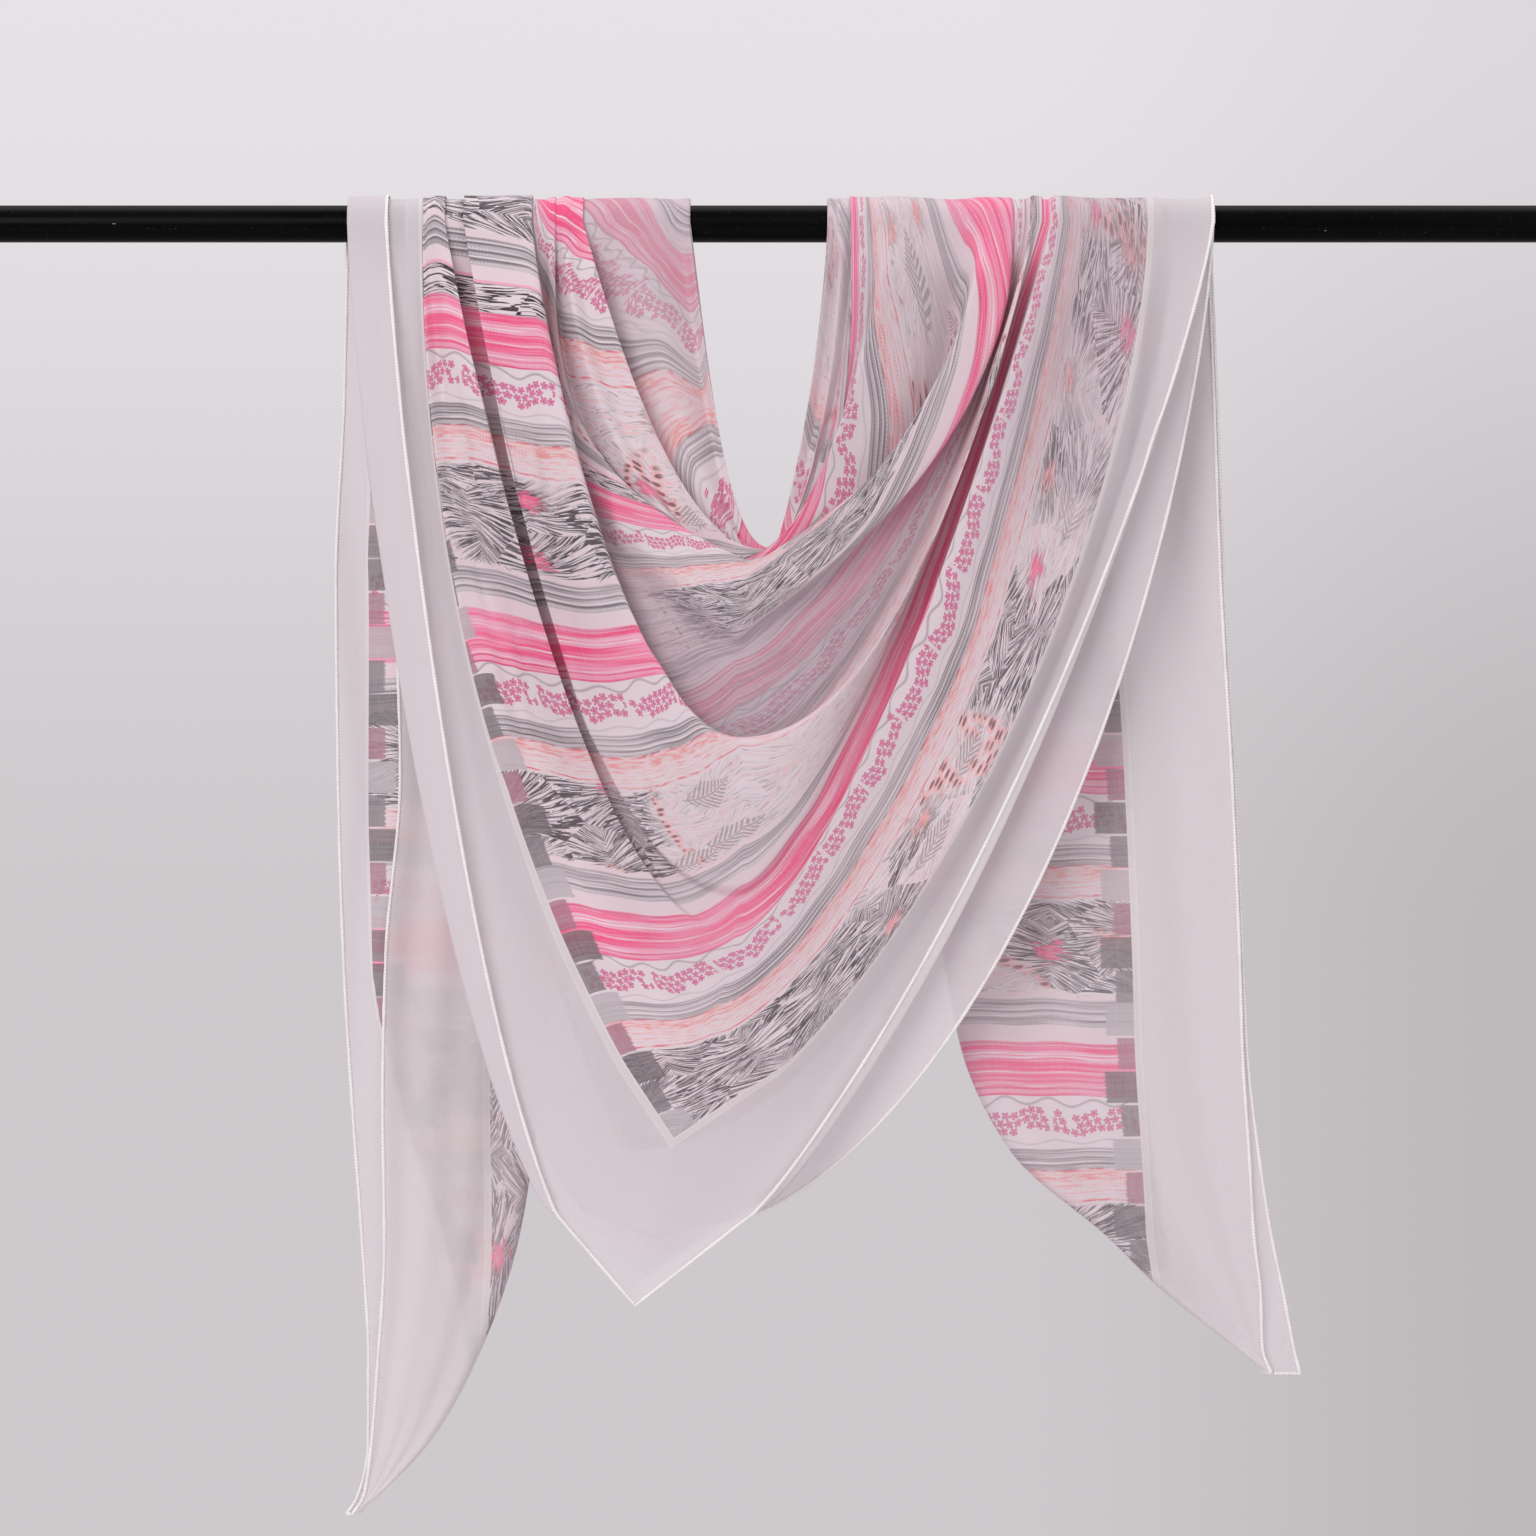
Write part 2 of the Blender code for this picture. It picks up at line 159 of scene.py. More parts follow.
# The front's inner layer, with the columns of FRONT_OUTER and PRINT_OUTER.
FRONT_INNER = (
    ("neckline", -50, -36, 0.9, 4, -203, 28, 38, 1.4, 3, 2, 3, 0, 0),
    ("upper_face", -90, -70, 1.0, -4, -222, 52, 66, 1.6, 5, 3, 5, 0, 0),
    ("upper_dip", -130, -112, 1.3, -12, -290, 86, 120, 1.5, 2, 2, 2, 0, 0),
    ("middle_face", -160, -128, 1.2, -16, -370, 106, 160, 1.3, 5, 6, 5, 0, 0),
    ("side_dip", -185, -145, 1.1, -30, -440, 120, 188, 1.2, 2, 3, 2, 0, 0),
    ("side_face", -198, -160, 1.4, -60, -500, 140, 215, 1.2, 5, 7, 5, 0, 0),
    ("print_edge", -206, -172, 1.6, -84, -556, 164, 240, 1.3, 3, 4, 3, 0, 0),
    ("margin", -212, -183, 1.5, -80, -582, 186, 256, 1.5, 4, 6, 5, 0, 0.012),
    ("hem", -216, -190, 1.3, -68, -608, 200, 266, 1.5, 3, 6, 6, 0, 0.025),
)
PRINT_INNER = (
    ("neckline", 900, 825, 750, 675, 600, 600, 750, 900),
    ("upper_face", 960, 880, 800, 712, 625, 640, 800, 960),
    ("upper_dip", 1060, 995, 930, 792, 655, 690, 930, 1070),
    ("middle_face", 1180, 1130, 1080, 880, 680, 730, 1080, 1190),
    ("side_dip", 1290, 1260, 1230, 965, 700, 760, 1230, 1300),
    ("side_face", 1370, 1355, 1340, 1024, 708, 780, 1340, 1375),
    ("print_edge", 1435.2, 1435.2, 1435.2, 1073, 712, 800, 1435.2, 1435.2),
    ("margin", 1470, 1468, 1466, 1090, 715, 815, 1466, 1468),
    ("hem", 1500, 1500, 1500, 1109, 718, 828, 1500, 1500),
)

# Tails, one row per level from the rod down to the tip. hem, back_hem, fold: X of the near
# layer's hem, of the back layer's, and of the fold that joins them. turn: width of the strip
# turned in at the fold. out: how far behind the rod's axis. wave: depth of the soft pleats.
# border: how wide the back layer's margin shows before its print begins.
LEFT_TAIL = (
    # z, hem, back_hem, fold, turn, out, wave, gap, border
    (0, -250, -253, -50, 13, 12.4, 0, 2.4, 20),
    (-40, -246, -254, -56, 26, 14, 2, 2.8, 18),
    (-110, -237, -256, -70, 44, 17, 3.5, 3.4, 17),
    (-213, -226, -261, -92, 56, 20, 4.5, 3.8, 19),
    (-330, -222, -260, -112, 60, 23, 4.5, 3.8, 18),
    (-440, -231, -257, -128, 58, 26, 4.5, 3.6, 17),
    (-528, -233, -252, -138, 52, 28, 4, 3.4, 29),
    (-612, -232, -246, -151, 42, 29, 3.5, 3.2, 50),
    (-684, -236, -242, -176, 28, 30, 2.5, 3, 60),
    (-735, -240, -242, -205, 15, 30, 2, 2.6, 62),
    (-766, -244.5, -248, -235, 5, 30, 0.6, 2.4, 64),
    (-778, -251.5, -255, -249.5, 4, 30, 0.2, 2.2, 64),
)
RIGHT_TAIL = (
    (0, 264, 266, 38, 13, 12.4, 0, 2.4, 64),
    (-40, 266, 268, 46, 26, 14, 3, 2.8, 64),
    (-110, 269, 271, 60, 44, 17, 6, 3.4, 64),
    (-213, 273, 275, 76, 56, 20, 8, 3.8, 64),
    (-330, 280, 282, 90, 60, 23, 8, 3.8, 64),
    (-440, 285, 287, 106, 58, 26, 7, 3.6, 64),
    (-500, 287, 290, 118, 54, 28, 6, 3.4, 64),
    (-560, 291, 297, 148, 46, 29, 5, 3.2, 64),
    (-610, 294, 305, 205, 34, 30, 3.5, 3, 64),
    (-644, 298, 312, 240, 22, 30, 2, 2.6, 64),
    (-676, 299, 318, 281, 8, 30, 0.8, 2.4, 64),
    (-693, 304.5, 322, 303, 4, 30, 0.2, 2.2, 64),
)
TAIL_LEVELS = 150
TAIL_STEPS = 70
CURL_STEPS = 8
TURN_STEPS = 14
TAIL_CURL = 2.9
TAIL_CURL_GROWTH = 0.06
TAIL_FULL_TURN = 12.0
TAIL_WAVES = (
    # share, count, start
    (0.62, 3.4, 0.0),
    (0.38, 2.1, 1.1),
)
# How far from the tip the print starts, how much painted light brightens the near layer, and how
# inked it is.
TAIL_START = {"left": 0.0, "right": 19.0}
TAIL_SHADE = {"left": -0.55, "right": -0.36}
TAIL_INK = {"left": 0.14, "right": 0.0}

# Soft creases of the front, placed on the outer layer: from one end to the other,
# half width and height. A minus height is a trough.
CREASES = (
    # x0, z0, x1, z1, width, height
    (-219, 0, -214, -170, 3.0, 1.3),
    (-213, 0, -209, -95, 2.4, -1.2),
    (-241, -4, -233, -210, 4.0, 0.9),
    (200, -6, 176, -190, 3.5, 1.1),
    (214, -6, 196, -150, 3.0, -1.0),
    (230, -6, 207, -190, 4.0, 1.0),
    (243, -4, 226, -170, 3.0, -0.9),
    (-130, -410, -75, -455, 9.0, 2.2),
    (-118, -440, -60, -480, 8.0, -1.8),
    (-92, -380, -40, -450, 10.0, 1.6),
    (-70, -250, -48, -330, 7.0, 1.5),
    (-108, -180, -80, -300, 6.0, -1.2),
    (-100, -120, -84, -215, 4.0, 1.2),
    (-176, -60, -150, -250, 4.0, 1.0),
    (-166, -30, -146, -200, 4.0, -0.9),
    (-150, -300, -118, -395, 5.0, 1.2),
    (-30, -520, 40, -470, 14.0, 1.8),
    (-20, -590, 60, -540, 16.0, 1.6),
    (60, -430, 110, -330, 10.0, 1.4),
    (20, -250, 75, -200, 8.0, 1.4),
    (-40, -240, 30, -262, 6.0, 1.1),
    (-111, -596, -34, -610, 3.0, 1.2),
    (-153, -225, -135, -312, 3.0, 1.6),
    (-161, -228, -143, -316, 3.0, -1.2),
    (-197, -30, -180, -200, 3.6, 1.3),
    (-188, -70, -168, -240, 3.0, -1.2),
    (-181, -190, -150, -330, 4.0, 1.5),
    (-163, -250, -120, -390, 4.0, -1.3),
    (-146, -60, -130, -240, 4.0, 1.4),
    (-137, -90, -118, -270, 3.4, -1.2),
    (-128, -200, -98, -340, 4.4, 1.4),
    (-150, -380, -110, -470, 6.0, 1.8),
    (-128, -400, -84, -490, 5.0, -1.5),
    (150, -4, 128, -120, 3.5, 1.2),
    (184, -4, 160, -130, 3.0, 1.0),
)

# Share of a crease's length over which each end fades, and how far out the cloth has to hang.
CREASE_FADE = 0.3
CREASE_OUT = 12.0

# Bands of the print in the order that u grows, with their widths.
BANDS = (
    # name, width
    ("rose", 32.4),
    ("blush", 10.2),
    ("smoke", 15.6),
    ("line", 4.2),
    ("sprig", 58.8),
    ("rim", 3.0),
    ("peach", 18.0),
    ("lace", 12.0),
    ("pale", 8.4),
    ("garland", 16.2),
    ("wave", 7.2),
)
PRINT_START = 187.8
# One narrow black and white band that comes once, between two repeats.
EXTRA_START = 592.2
EXTRA_WIDTH = 18.0
# The column of blocks beside the two sides that cross the bands.
BLOCK_PITCH = 20.4
# The print's rows of beads and the hem's whipped stitches.
BEAD_LENGTH = 1.9
STITCH_LENGTH = 1.9
# The outer layer's left border is turned under: where that starts, over how many millimetres
# it grows, and how far the print moves out under the border.
UNDER_LOW = -335.0
UNDER_GROWTH = 170.0
UNDER_MOST = 21.0

# Where folds of the front show the print's duller back side in painted shade: rows from and
# to, place along the thread (-1 left of the rod, 0 lowest, 1 right of the rod), spread and amount.
DULL_AND_SHADE_ROWS = (
    # first_row, last_row, along, spread, amount
    ("neck_return", "first_dip", -0.95, 0.35, 0.5),
    ("neck_return", "first_dip", 0.8, 0.6, 0.2),
    ("leaf_face", "leaf_valley", 0.8, 0.5, 0.2),
    ("middle_dip", "apron_back", 0.05, 0.75, 0.84),
    ("side_pleat", "print_edge", 0.95, 0.3, 0.5),
    ("apron_face", "side_pleat", 0.1, 0.3, 0.15),
)

# Where the drawn bands are dense with strokes, or, with a minus amount, pale with leaf sprays.
INK_TONES = (
    # first_row, last_row, along, spread, amount
    ("flower_face", "leaf_valley", -0.6, 0.3, -0.26),
    ("flower_face", "leaf_fold", 0.8, 0.3, -0.2),
    ("roll_top", "middle_dip", 0.1, 0.5, 0.24),
    ("apron_back", "pleat_edge", 0.14, 0.34, -0.28),
    ("apron_lip", "pleat_edge", -0.52, 0.25, 0.36),
    ("apron_face", "side_pleat", -1.0, 0.14, 0.4),
    ("valley_left", "side_pleat", -0.3, 0.25, 0.16),
    ("side_pleat", "print_edge", -0.1, 0.3, 0.14),
    ("side_pleat", "print_edge", 0.75, 0.2, -0.13),
)

# Painted soft shadows of folds, and painted light on the margin's turned strips and the neckline.
PAINTED_SHADOW_AND_LIGHT = (
    # first_row, last_row, along, spread, amount
    ("margin", "margin", 0.42, 0.22, 0.22),
    ("margin_edge", "hem", 0.45, 0.3, -0.7),
    ("apron_face", "side_pleat", -0.42, 0.3, 0.26),
    ("neck_return", "first_dip", -0.8, 0.4, -0.36),
    ("neck_return", "first_dip", 0.8, 0.4, -0.6),
)

# Lines of the pink, grey and peach bands, over the share of the band's width. dots: how
# strongly the line is broken into beads.
ROSE_ROWS = (
    # share, tint, dots
    (0.0, "deep", 0), (0.025, "deep", 0), (0.04, "light", 0), (0.11, "light", 0.6),
    (0.125, "deep", 0), (0.145, "deep", 0), (0.16, "light", 0.7), (0.19, "white", 0),
    (0.21, "light", 0), (0.25, "light", 0.8), (0.27, "deep", 0), (0.29, "rose", 0),
    (0.41, "rose", 0), (0.425, "white", 0), (0.44, "white", 0), (0.455, "rose", 0),
    (0.63, "rose", 0), (0.645, "light", 0.8), (0.69, "light", 0.8), (0.70, "white", 0),
    (0.72, "white", 0), (0.73, "light", 0.9), (0.755, "light", 0), (0.765, "white", 0),
    (0.78, "white", 0), (0.79, "light", 0.9), (0.83, "light", 0), (0.85, "rose", 0),
    (0.91, "rose", 0), (0.925, "light", 0.8), (0.96, "deep", 0), (1.0, "light", 0),
)
GREY_ROWS = (
    (0.0, "smoke", 0), (0.1, "smoke", 0.9), (0.16, "smoke", 0), (0.19, "line", 0),
    (0.25, "line", 0), (0.29, "pale", 0), (0.33, "pale", 0), (0.38, "smoke", 0.9),
    (0.46, "smoke", 0), (0.5, "line", 0), (0.54, "line", 0), (0.58, "pale", 0),
    (0.62, "smoke", 0.9), (0.68, "smoke", 0), (0.76, "smoke", 0), (0.79, "line", 0),
    (0.83, "line", 0), (0.87, "pale", 0), (0.92, "smoke", 0.6), (0.96, "line", 0),
    (1.0, "smoke", 0),
)
PEACH_ROWS = (
    (0.0, "pale", 0), (0.05, "coral", 0), (0.08, "coral", 0), (0.11, "pale", 0),
    (0.2, "blush", 0.5), (0.27, "pale", 0), (0.33, "peach", 0.4), (0.36, "pale", 0),
    (0.47, "blush", 0.7), (0.54, "peach", 0), (0.58, "pale", 0), (0.66, "peach", 0.8),
    (0.8, "peach", 0.8), (0.9, "peach", 0), (0.94, "coral", 0), (1.0, "line", 0),
)
# Tone of the drawn strokes over their noise: pale ground, light edge, dark line, grey body.
STROKE_ROWS = (
    (0.3, "blush", 0), (0.4, "pale", 0), (0.435, "line", 0), (0.455, "white", 0),
    (0.482, "white", 0), (0.494, "ink", 0), (0.612, "ink", 0), (0.625, "line", 0),
    (0.65, "line", 0), (0.67, "white", 0), (0.71, "white", 0), (0.725, "ink", 0),
)


def linear(red, green, blue):
    """A colour given as 0 to 255 screen values, as the linear values that a shader takes."""
    values = [c / 255 for c in (red, green, blue)]
    return tuple(c / 12.92 if c <= 0.04045 else ((c + 0.055) / 1.055) ** 2.4 for c in values) + (1.0,)


# Colours of the cloth, the print and the hem
CLOTH_COLOUR = linear(232, 226, 229)
ROSE = linear(250, 84, 138)
ROSE_LIGHT = linear(248, 160, 190)
ROSE_DEEP = linear(214, 62, 112)
MAGENTA = linear(206, 66, 124)
PETAL = linear(240, 170, 204)
SMOKE = linear(190, 182, 186)
SMOKE_DARK = linear(122, 115, 119)
SLATE = linear(104, 98, 101)
INK = linear(46, 41, 45)
SEED = linear(112, 74, 86)
WHITE = linear(244, 232, 238)
PEACH = linear(245, 182, 180)
PALE = linear(235, 221, 226)
BLUSH = linear(236, 215, 222)
MAUVE = linear(168, 112, 132)
CORAL = linear(232, 118, 126)
# The print's duller back side in painted shade, where folds show it.
DUSK = linear(176, 158, 167)
DUSK_DARK = linear(142, 130, 137)
DUSK_LIGHT = linear(214, 192, 203)
# Painted shade of deep folds, multiplied into the colour.
SHADE = linear(164, 128, 142)
THREAD = linear(205, 196, 202)
THROUGH = linear(238, 228, 232)
HEM_COLOUR = linear(248, 244, 242)
STITCH = linear(205, 198, 200)
HEM_PATCH = linear(222, 212, 214)
# Colours of the rod and the studio
PAINT = linear(4, 4, 5)
RUBBED = linear(12, 11, 12)
DUST = linear(150, 148, 150)
WOOD = linear(150, 126, 104)
FLOOR_LIGHT = linear(226, 223, 226)
FLOOR_DARK = linear(218, 214, 217)
SKY_LOW = linear(206, 201, 204)
SKY_HIGH = linear(231, 226, 230)
BLACK = linear(0, 0, 0)


def smooth_rows(values, at):
    """Cubic through evenly spaced rows that never overshoots them."""
    values = np.asarray(values, float)
    step = np.diff(values, axis=0)
    slope = np.zeros_like(values)
    before, after = step[:-1], step[1:]
    total = before + after
    same = before * after > 0
    slope[1:-1] = np.where(same, 2 * before * after / np.where(total == 0, 1, total), 0)
    slope[0], slope[-1] = step[0], step[-1]
    i = np.clip(np.floor(at).astype(int), 0, len(values) - 2)
    f = (at - i)[:, None]
    rise = f * f * (3 - 2 * f)
    return (
        values[i] * (1 - rise)
        + values[i + 1] * rise
        + slope[i] * f * (1 - f) ** 2
        - slope[i + 1] * f * f * (1 - f)
    )


def ease(values, knots, at):
    """Level at each knot and smooth between."""
    i = np.clip(np.searchsorted(knots, at, side="right") - 1, 0, len(knots) - 2)
    f = (at - knots[i]) / (knots[i + 1] - knots[i])
    f = f * f * (3 - 2 * f)
    return values[i] * (1 - f) + values[i + 1] * f


def branch(x_rod, x_mid, x_low, bow, drop, corner):
    """X of one side of a thread where it has come down by this share of its drop.

    The last part of the drop, named by corner, is straight, which gives a pointed low end.
    """
    share = np.clip((x_mid - x_low) / (x_rod - x_low), 0.05, 0.98)
    power = np.log(share) / np.log(1 - 0.5**bow)
    part = np.clip(1 - drop**bow, 0, 1) ** power
    if corner > 0.002:
        straight = (1 - (1 - corner) ** bow) ** power * (1 - drop) / corner
        part = np.where(drop > 1 - corner, straight, part)
    return x_low + (x_rod - x_low) * part


def saddle(x, radius):
    """Points over the rod, from its back to its front."""
    angle = np.linspace(0, np.pi, OVER_STEPS + 1)
    return np.stack([np.full_like(angle, x), np.cos(angle) * radius, np.sin(angle) * radius], 1)


def thread(row, radius):
    """One thread of the front: over the rod, down, along its low point, up and over again."""
    left, left_mid, left_bow, low_x, low_z, right_mid, right, right_bow = row[:8]
    out_left, out_low, out_right, lift, corner = row[8:]
    rod = radius + lift
    turn = np.linspace(0, 1, DROP_PLACES)
    drop = 1 - (1 - turn) ** DROP_POWER
    x_left = branch(left, left_mid, low_x, left_bow, drop, corner)
    x_right = branch(right, right_mid, low_x, right_bow, drop, corner)
    x = np.concatenate([x_left, x_right[-2::-1]])
    z = low_z * np.concatenate([drop, drop[-2::-1]])
    run = np.concatenate([[0], np.cumsum(np.hypot(np.diff(x), np.diff(z)))])
    run, low = run / run[-1], run[len(turn) - 1] / run[-1]
    left_knots = [0, low * SHOULDER, low * 0.5, low]
    right_knots = [low + (1 - low) * 0.5, low + (1 - low) * (1 - SHOULDER), 1.0]
    outs = np.array([rod, out_left, out_left, out_low, out_right, out_right, rod])
    out = ease(outs, np.array(left_knots + right_knots), run)
    share = hang_share()
    at = np.where(share < 0, low * (1 + share), low + (1 - low) * share)
    hang = np.stack([np.interp(at, run, x), -np.interp(at, run, out), np.interp(at, run, z)], 1)
    return np.concatenate([saddle(left, rod)[:-1], hang, saddle(right, rod)[-2::-1]])


def hang_share():
    """Places along a thread's hanging part, from -1 at the left of the rod to 1, closer low down."""
    share = np.linspace(-1, 1, HANG_STEPS + 1)
    return 0.72 * share + 0.28 * share**3


def front_grid(table, radius, threads):
    """Points of a front layer, and the place of each line of them among the table's rows."""
    rows = [row[1:] for row in table]
    at = np.linspace(0, len(rows) - 1, (len(rows) - 1) * threads + 1)
    return np.array([thread(row, radius) for row in smooth_rows(rows, at)]), at


def front_print(table, at, radius):
    """Flat cloth place of each point of a front layer."""
    rows = smooth_rows([row[1:] for row in table], at)
    share = hang_share()
    u = np.array([np.interp(share, (-1, -0.5, 0, 0.5, 1), row[0:5]) for row in rows])
    v = np.array([np.interp(share, (-1, 0, 1), row[5:8]) for row in rows])
    hang = np.stack([u, v], axis=2)
    arc = radius * np.linspace(np.pi, 0, OVER_STEPS + 1)[:-1]

    def beyond(end, before):
        way = end - before
        way = way / np.linalg.norm(way, axis=1, keepdims=True)
        return end[:, None] + way[:, None] * arc[None, :, None]

    first = beyond(hang[:, 0], hang[:, HANG_STEPS // 4])
    last = beyond(hang[:, -1], hang[:, -1 - HANG_STEPS // 4])
    return np.concatenate([first, hang, last[:, ::-1]], axis=1)


def soften(values, weights, axis):
    """Values averaged with their neighbours along one axis."""
    reach = len(weights) // 2
    return np.apply_along_axis(
        lambda line: np.convolve(np.pad(line, reach, "edge"), weights, "valid"), axis, values
    )


def turned_slopes(grid, u):
    """Slopes of v over the rows, where it follows the bands, and along the threads, where it
    runs at right angles to u. Both stay between 0.3 and 1 times the step between points."""
    over_rows, along = np.gradient(grid, axis=0), np.gradient(grid, axis=1)
    u_rows, u_along = np.gradient(u, axis=0), np.gradient(u, axis=1)
    e, f, g = (over_rows**2).sum(-1), (over_rows * along).sum(-1), (along**2).sum(-1)
    area = np.sqrt(np.maximum(e * g - f * f, 1e-9))
    a = (g * u_rows - f * u_along) / area**2
    b = (e * u_along - f * u_rows) / area**2
    steep = np.sqrt(np.maximum(a * u_rows + b * u_along, 1e-9))
    level = over_rows - along * (u_rows / np.minimum(u_along, -1e-3))[..., None]
    rows = np.clip(np.linalg.norm(level, axis=2), 0.3 * np.sqrt(e), np.sqrt(e))
    return rows, np.clip(-a * area / steep, 0.3 * np.sqrt(g), np.sqrt(g))


def count_v(grid, places, edge):
    """Counts v over the rows on the left half, from the print's edge, and along the threads
    on the right."""
    v, left = places[..., 1], LOWEST + 1
    up, along = turned_slopes(grid, places[..., 0])
    up = soften(up, np.ones(9) / 9, axis=1)
    v[:edge, :left] = v[edge, :left] + np.cumsum(up[:edge][::-1], axis=0)[::-1, :left]
    v[:, left:] = v[:, LOWEST:left] + np.cumsum(along[:, left:], axis=1)


def hide_blocks(grid, places, edge):
    """Moves the print out under the border where the left side's blocks are turned under."""
    high = np.clip((grid[..., 2] - UNDER_LOW) / UNDER_GROWTH, 0, 1) * UNDER_MOST
    near = np.clip((np.arange(len(grid)) - edge + 60) / 30, 0, 1)[:, None]
    places[: edge + 1, : LOWEST + 1, 1] += (high * near)[: edge + 1, : LOWEST + 1]


def fold_tones(table, at):
    """Amounts of a table of tones at each point of the front's outer layer."""
    share = np.concatenate([np.full(OVER_STEPS, -1.0), hang_share(), np.full(OVER_STEPS, 1.0)])
    amount = np.zeros((len(at), len(share)))
    for first, last, along, spread, most in table:
        rows = np.minimum(at - OUTER_ROWS.index(first) + 1, OUTER_ROWS.index(last) + 1 - at)
        rows = np.clip(rows, 0, 1)
        run = np.exp(-(((share - along) / spread) ** 2))
        part = most * rows[:, None] * run[None, :]
        amount = np.where(abs(part) > abs(amount), part, amount)
    return amount


def hollow(grid, window, shallow, deep):
    """How shaded each point is by folds that stand in front of it on both sides, from 0 to 1."""
    out = -grid[..., 1]
    rows = len(out)
    above, below = out.copy(), out.copy()
    for shift in range(1, window):
        above[shift:] = np.maximum(above[shift:], out[: rows - shift])
        below[: rows - shift] = np.maximum(below[: rows - shift], out[shift:])
    depth = np.clip((np.minimum(above, below) - out - shallow) / (deep - shallow), 0, 1)
    return depth * depth * (3 - 2 * depth)


def front_shade(grid, at):
    """Painted shade in the outer layer's folds, and the table's painted shadows. Minus is painted
    light.

    It is weaker above the apron, and on the lower part of the left half.
    """
    strength = np.where(at < OUTER_ROWS.index("apron_face"), 0.35, 0.85)
    shade = hollow(grid, window=11, shallow=4.0, deep=22.0) * strength[:, None]
    left = np.arange(grid.shape[1]) < LOWEST
    shade = shade * np.where(left, 0.45 + 0.55 * np.clip((grid[..., 2] + 330) / 200, 0, 1), 1.0)
    shade = soften(shade, np.array([0.1, 0.2, 0.4, 0.2, 0.1]), axis=0)
    tones = fold_tones(PAINTED_SHADOW_AND_LIGHT, at)
    return np.where(tones < 0, tones, np.maximum(shade, tones))


def slow_change(u, v, long_u, long_v, seed):
    """Smooth random values about 0.5 over the flat cloth, changing over about these lengths."""
    turn, start, pace = np.random.default_rng(seed).uniform(0, 2 * np.pi, (3, 8))
    pace = np.pi * (0.7 + 0.1 * pace)
    waves = [
        np.sin((u / long_u * np.cos(t) + v / long_v * np.sin(t)) * p + s)
        for t, s, p in zip(turn, start, pace)
    ]
    return 0.5 + 0.065 * sum(waves)


def tail_wave(x, hem, fold):
    """Height of the soft pleats at this X, from 0 to 1."""
    across = (x - hem) / (fold - hem)
    return sum(share * 0.5 * (1 - np.cos(2 * np.pi * (count * across + start)))
               for share, count, start in TAIL_WAVES)


def near_section(row):
    """One level of a tail's near layer, and the distance of each point from its hem."""
    z, hem, _, fold, turn, out, wave = row[:7]
    side = np.sign(fold - hem)
    curl = TAIL_CURL + TAIL_CURL_GROWTH * turn
    face = max(abs(fold - hem) - curl, 1.0)
    bend = np.pi * min(turn / TAIL_FULL_TURN, 1)
    arc = bend * curl
    s = np.concatenate([
        np.linspace(0, face, TAIL_STEPS + 1),
        np.linspace(face, face + arc, CURL_STEPS + 1)[1:],
        np.linspace(face + arc, face + arc + turn, TURN_STEPS + 1)[1:],
    ])
    angle = np.clip((s - face) / curl, 0, bend)
    past = np.maximum(s - face - arc, 0)
    x = np.minimum(s, face) + curl * np.sin(angle) + past * np.cos(bend)
    y = curl * (1 - np.cos(angle)) + past * np.sin(bend)
    x = hem + side * x
    return np.stack([x, out + y + wave * tail_wave(x, hem, fold), np.full_like(s, z)], 1), s


def back_section(row):
    """One level of a tail's back layer, and the distance of each point from its hem."""
    z, hem, back_hem, fold, _, out, wave, gap = row[:8]
    side = np.sign(fold - hem)
    x = np.linspace(back_hem, fold - side * (gap + 1.2), TAIL_STEPS + 1)
    y = out + gap + wave * tail_wave(x, hem, fold)
    return np.stack([x, y, np.full_like(x, z)], 1), np.abs(x - back_hem)


def tail_grid(section, rows):
    """Points of a tail's layer, and the distance of each from its hem and, down the hem, from
    the tip."""
    made = [section(row) for row in rows]
    grid = np.array([points for points, s in made])
    reach = np.array([s for points, s in made])
    run = np.cumsum(np.linalg.norm(np.diff(grid[:, 0], axis=0), axis=1))
    run = np.concatenate([[0], run])
    return grid, reach, (run[-1] - run)[:, None] * np.ones_like(reach)


def grid_normals(grid):
    """Unit normals of a grid of points."""
    down = np.gradient(grid, axis=0)
    along = np.gradient(grid, axis=1)
    normal = np.cross(down, along)
    length = np.linalg.norm(normal, axis=2, keepdims=True)
    return normal / np.where(length == 0, 1, length)


def crease(grid, table):
    """Raises the soft creases of a table on the side that faces the viewer."""
    normal = grid_normals(grid)
    facing = -np.sign(normal[:, :, 1:2])
    x, z = grid[:, :, 0], grid[:, :, 2]
    lift = np.zeros_like(x)
    for x0, z0, x1, z1, width, height in table:
        run = (x1 - x0, z1 - z0)
        length = math.hypot(*run)
        t = ((x - x0) * run[0] + (z - z0) * run[1]) / length**2
        off = ((x - x0) * run[1] - (z - z0) * run[0]) / length
        fade = np.clip(np.minimum(t, 1 - t) / CREASE_FADE, 0, 1)
        fade = fade * fade * (3 - 2 * fade)
        lift += height * fade * np.exp(-((off / width) ** 2))
    front = np.clip(-grid[:, :, 1] / CREASE_OUT, 0, 1)
    return grid + normal * facing * (lift * front)[:, :, None]


def add_mesh(name, points, faces, places=None, smooth=True):
    """A mesh object from points in millimetres, with the flat cloth places as its UV map."""
    mesh = bpy.data.meshes.new(name)
    mesh.from_pydata((np.asarray(points) * MM).tolist(), [], faces)
    if places is not None:
        layer = mesh.uv_layers.new(name="cloth")
        loops = np.empty(len(mesh.loops), np.int32)
        mesh.loops.foreach_get("vertex_index", loops)
        layer.data.foreach_set("uv", (np.asarray(places)[loops] * MM).astype(np.float32).ravel())
    if smooth:
        mesh.polygons.foreach_set("use_smooth", [True] * len(mesh.polygons))
    mesh.update()
    item = bpy.data.objects.new(name, mesh)
    bpy.context.scene.collection.objects.link(item)
    return item


